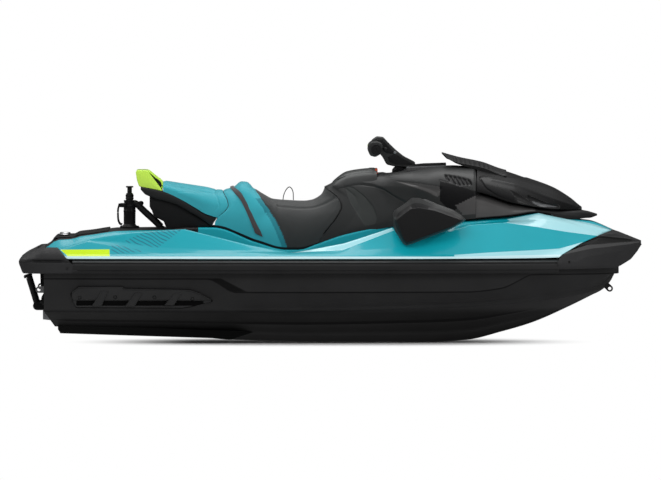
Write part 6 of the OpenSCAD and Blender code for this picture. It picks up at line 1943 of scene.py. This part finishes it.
def pylon_base_piece():
    """A turned socket whose radius is fluted by 0.955 (1 + 0.05 cos 12 a), and on each side a tube down
    to a foot. Offsets forward are from the post's axis."""
    turns = 96
    root, up = (POST_X, 0, BASE_Z), (0, 0, 1)
    lower = [(0, 20.4), (0, 54), (9, 54), (13, 50), (14, 40), (22, 33), (90, 33), (92, 34.5), (96, 34.5),
             (98, 33), (120, 33), (122, 33), (126, 31)]
    upper = [(126, 31), (132, 30.5), (140, 30.5), (150, 32), (154, 33), (155.4, 30), (155.4, 20.5), (100, 20.5),
             (0, 20.4)]
    body = lathe(lower, root, up, turns)
    flute = 0.955 * (1 + 0.05 * np.cos(12 * np.arange(turns) / turns * 2 * np.pi))[None, :, None]
    body[6:11, :, :2] = mix(np.array([POST_X, 0]), body[6:11, :, :2], flute)
    patches = [strip(body, wrap=True), turned(upper, root, up, turns)]
    brace = [(24, 9, 772), (44, 13, 762), (86, 30, 722), (146, 66, 668), (172, 79, BASE_Z + 9)]
    sole = ((0.0, 0.2), (1, 0.2), (1, 5), (0.94, 8), (0.55, 12), (0.0, 12))
    knob = [(0, 0), (0, 12), (10, 13), (20, 12), (22, 9), (22, 0)]
    for s in (-1, 1):
        path = smooth_path([(POST_X + x, s * y, z) for x, y, z in brace], 40)
        foot = loop_smooth([(POST_X + x, s * y) for x, y in ((151, 66), (195.5, 66), (195.5, 92), (151, 92))],
                           48, 0.3)
        patches += stretched_tube(path, 18, 20, 1)
        patches += [strip(stacked(foot, sole, BASE_Z), wrap=True),
                    turned(knob, (POST_X + 58, s * 12, 770), (0.5, s, 0), 24, mat=1)]
    yoke = [(-59, 749), (-59, 766), (-50, 771), (-20, 771), (-20, 747)]
    yoke = loop_smooth([(POST_X + x, z) for x, z in yoke], 48, 0.25)
    patches += [plate(yoke, s * 22, s * 45.6, bevel=4, inner_bevel=2) for s in (-1, 1)]
    make("pylon_socket", patches, [M["black"], M["rail"]], "craft", "pylon_base", angle=36)


def pylon_post_piece():
    """One turned profile from the keel up: the post, a collar, a narrow neck and the tow head's cap."""
    post = [(492, 0), (492, 18), (494, 19.8), (790, 19.8), (792.3, 21), (793, 22.8), (799, 22.8), (800, 21.6),
            (809, 21.6), (810, 22.8), (817, 22.8), (818, 20), (824, 19.6), (828, 13), (857, 13), (857.5, 19),
            (859, 20.8), (864, 20.8), (865.8, 18.5), (866, 14), (864.8, 12), (864.8, 0)]
    mat = np.zeros((len(post) - 1, 1), int)
    mat[13:18] = 1
    mat[18:] = 2
    make("pylon_mast", [turned(post, (POST_X, 0, 0), (0, 0, 1), 64, mat)], [M["tube"], M["black"], M["steel"]],
         "pylon", "pylon_post", angle=34)


def spotter_loops_piece():
    """A flattened tube behind each side of the post, along a curve given as offsets from the post's
    axis and from the base."""
    knots = [(-41, 20), (-54, 26), (-62, 44), (-64.5, 70), (-64, 104), (-58, 128), (-57.5, 136)]
    patches = []
    for s in (-1, 1):
        path = smooth_path([(POST_X + x, s * 56, BASE_Z + z) for x, z in knots], 50)
        patches += stretched_tube(path, 5.4, 16, [0.9, 1.7, 1])
    make("spotter_loops", patches, [M["black"]], "craft", "spotter_handles", angle=40)


pylon_base_piece()
pylon_post_piece()
spotter_loops_piece()

# %% [markdown]
# ## Boarding step
#
# A swimmer pulls down a hoop of tube with a grooved tread; brackets on the transom carry its pins.

# %% Boarding step
PIVOT = np.array([100.0, 0, 205])
LEAN = math.radians(17)
UP = np.array([-math.sin(LEAN), 0, math.cos(LEAN)])             # along the folded arms
AHEAD = np.array([math.cos(LEAN), 0, math.sin(LEAN)])           # across the tread


def step_frame_piece():
    """One bent tube: up one arm, across under the tread and down the other, with eyes round the pins."""
    eye = [(140.4, 8.4), (140.4, 18), (142, 20), (162, 20), (163.8, 18), (163.8, 8.4), (140.4, 8.4)]
    bolt = [(0, 0), (0, 7.6), (2, 8), (4, 6), (4, 0)]
    patches = []
    for s in (-1, 1):
        arm = smooth_path([PIVOT + UP * t + [0, s * 152, 0] for t in (4, 40, 120, 163)], 24)
        patches += [strip(tube(arm, 15.5, 20), wrap=True), turned(eye, PIVOT, (0, s, 0), 36),
                    turned(bolt, PIVOT + UP * 150 + [-9.4, s * 152, 0], (-1, 0, 0), 16, mat=1)]
    cross = smooth_path([PIVOT + UP * 60 + [0, y, 0] for y in (-150, -60, 60, 150)], 20)
    patches.append(strip(tube(cross, 6, 16), wrap=True))
    make("step_hoop", patches, [M["tube"], M["steel"]], "boarding_step", "step_frame", angle=36)


def step_tread_piece():
    """A rounded board across the arms with four grooves: rings of its outline, laid in the plane that
    AHEAD and y span and raised along UP."""
    steps = [(0.0, 0), (0.97, 0), (1.0, 3), (1.0, 9), (0.985, 12), (0.95, 13.4), (0.93, 13.6)]
    for k in (0.78, 0.62, 0.46, 0.3):
        steps += [(k + 0.07, 13.6), (k + 0.05, 10.5), (k + 0.01, 10.5), (k, 13.6)]
    steps.append((0.0, 13.6))
    rings = stacked(loop_smooth(rectangle(-26, 18, 163), 160, 0.12), steps, 165.3)
    board = PIVOT + rings[..., :1] * AHEAD + rings[..., 1:2] * [0, 1, 0] + rings[..., 2:] * UP
    make("step_board", [strip(board, wrap=True)], [M["black"]], "boarding_step", "step_tread",
         angle=34)


def step_brackets_piece():
    """Two cheeks with rounded noses, the pins through the frame's eyes, and a guide above each cheek."""
    a = np.linspace(np.pi / 2, 3 * np.pi / 2, 24)
    nose = np.stack([PIVOT[0] + 24 * np.cos(a), PIVOT[2] + 24 * np.sin(a)], 1)
    cheek = np.concatenate([nose, [(118, 181), (140.7, 181), (140.7, 229), (118, 229)]])
    guide = loop_smooth([(119, 300), (140.7, 262), (140.7, 452), (126, 452), (114, 430)], 60, 0.2)
    pin = [(146, 0), (146, 7), (147, 8), (191.8, 8), (191.9, 0)]
    patches = []
    for s in (-1, 1):
        patches += [plate(cheek, s * 170, s * 192), plate(guide, s * 138, s * 168),
                    turned(pin, PIVOT, (0, s, 0), 24, mat=1)]
    make("step_cheeks", patches, [M["hull_dark"], M["steel"]], "craft", "step_brackets", angle=34)


step_frame_piece()
step_tread_piece()
step_brackets_piece()

# %% [markdown]
# ## The CAD's own pieces
#
# What no drawn piece stands in for is shown as it is, so every node gets a finish: black plastic
# unless it is named here.

# %% Finishes of the CAD pieces
CAD_FINISH = {
    "engine": "engine", "drive_shaft": "steel", "impeller": "steel", "pump_housing": "alloy",
    "trim_ring": "alloy", "steering_nozzle": "alloy", "ride_plate": "hull_dark", "intake_grate": "hull_dark", "bow_eye": "tube",
    "stern_eyes": "steel", "driver_seat": "seat", "passenger_seat": "seat_teal", "hood": "hood",
    "console": "console", "grab_handle": "lime", "seat_strap": "strap", "stern_bumper": "bumper",
    "bow_bumper": "bumper", "mirror_left": "console", "mirror_right": "console"}
for name, cad_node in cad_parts.items():
    slots = cad_node.data.materials
    slots.clear()
    slots.append(M[CAD_FINISH.get(name, "black")])
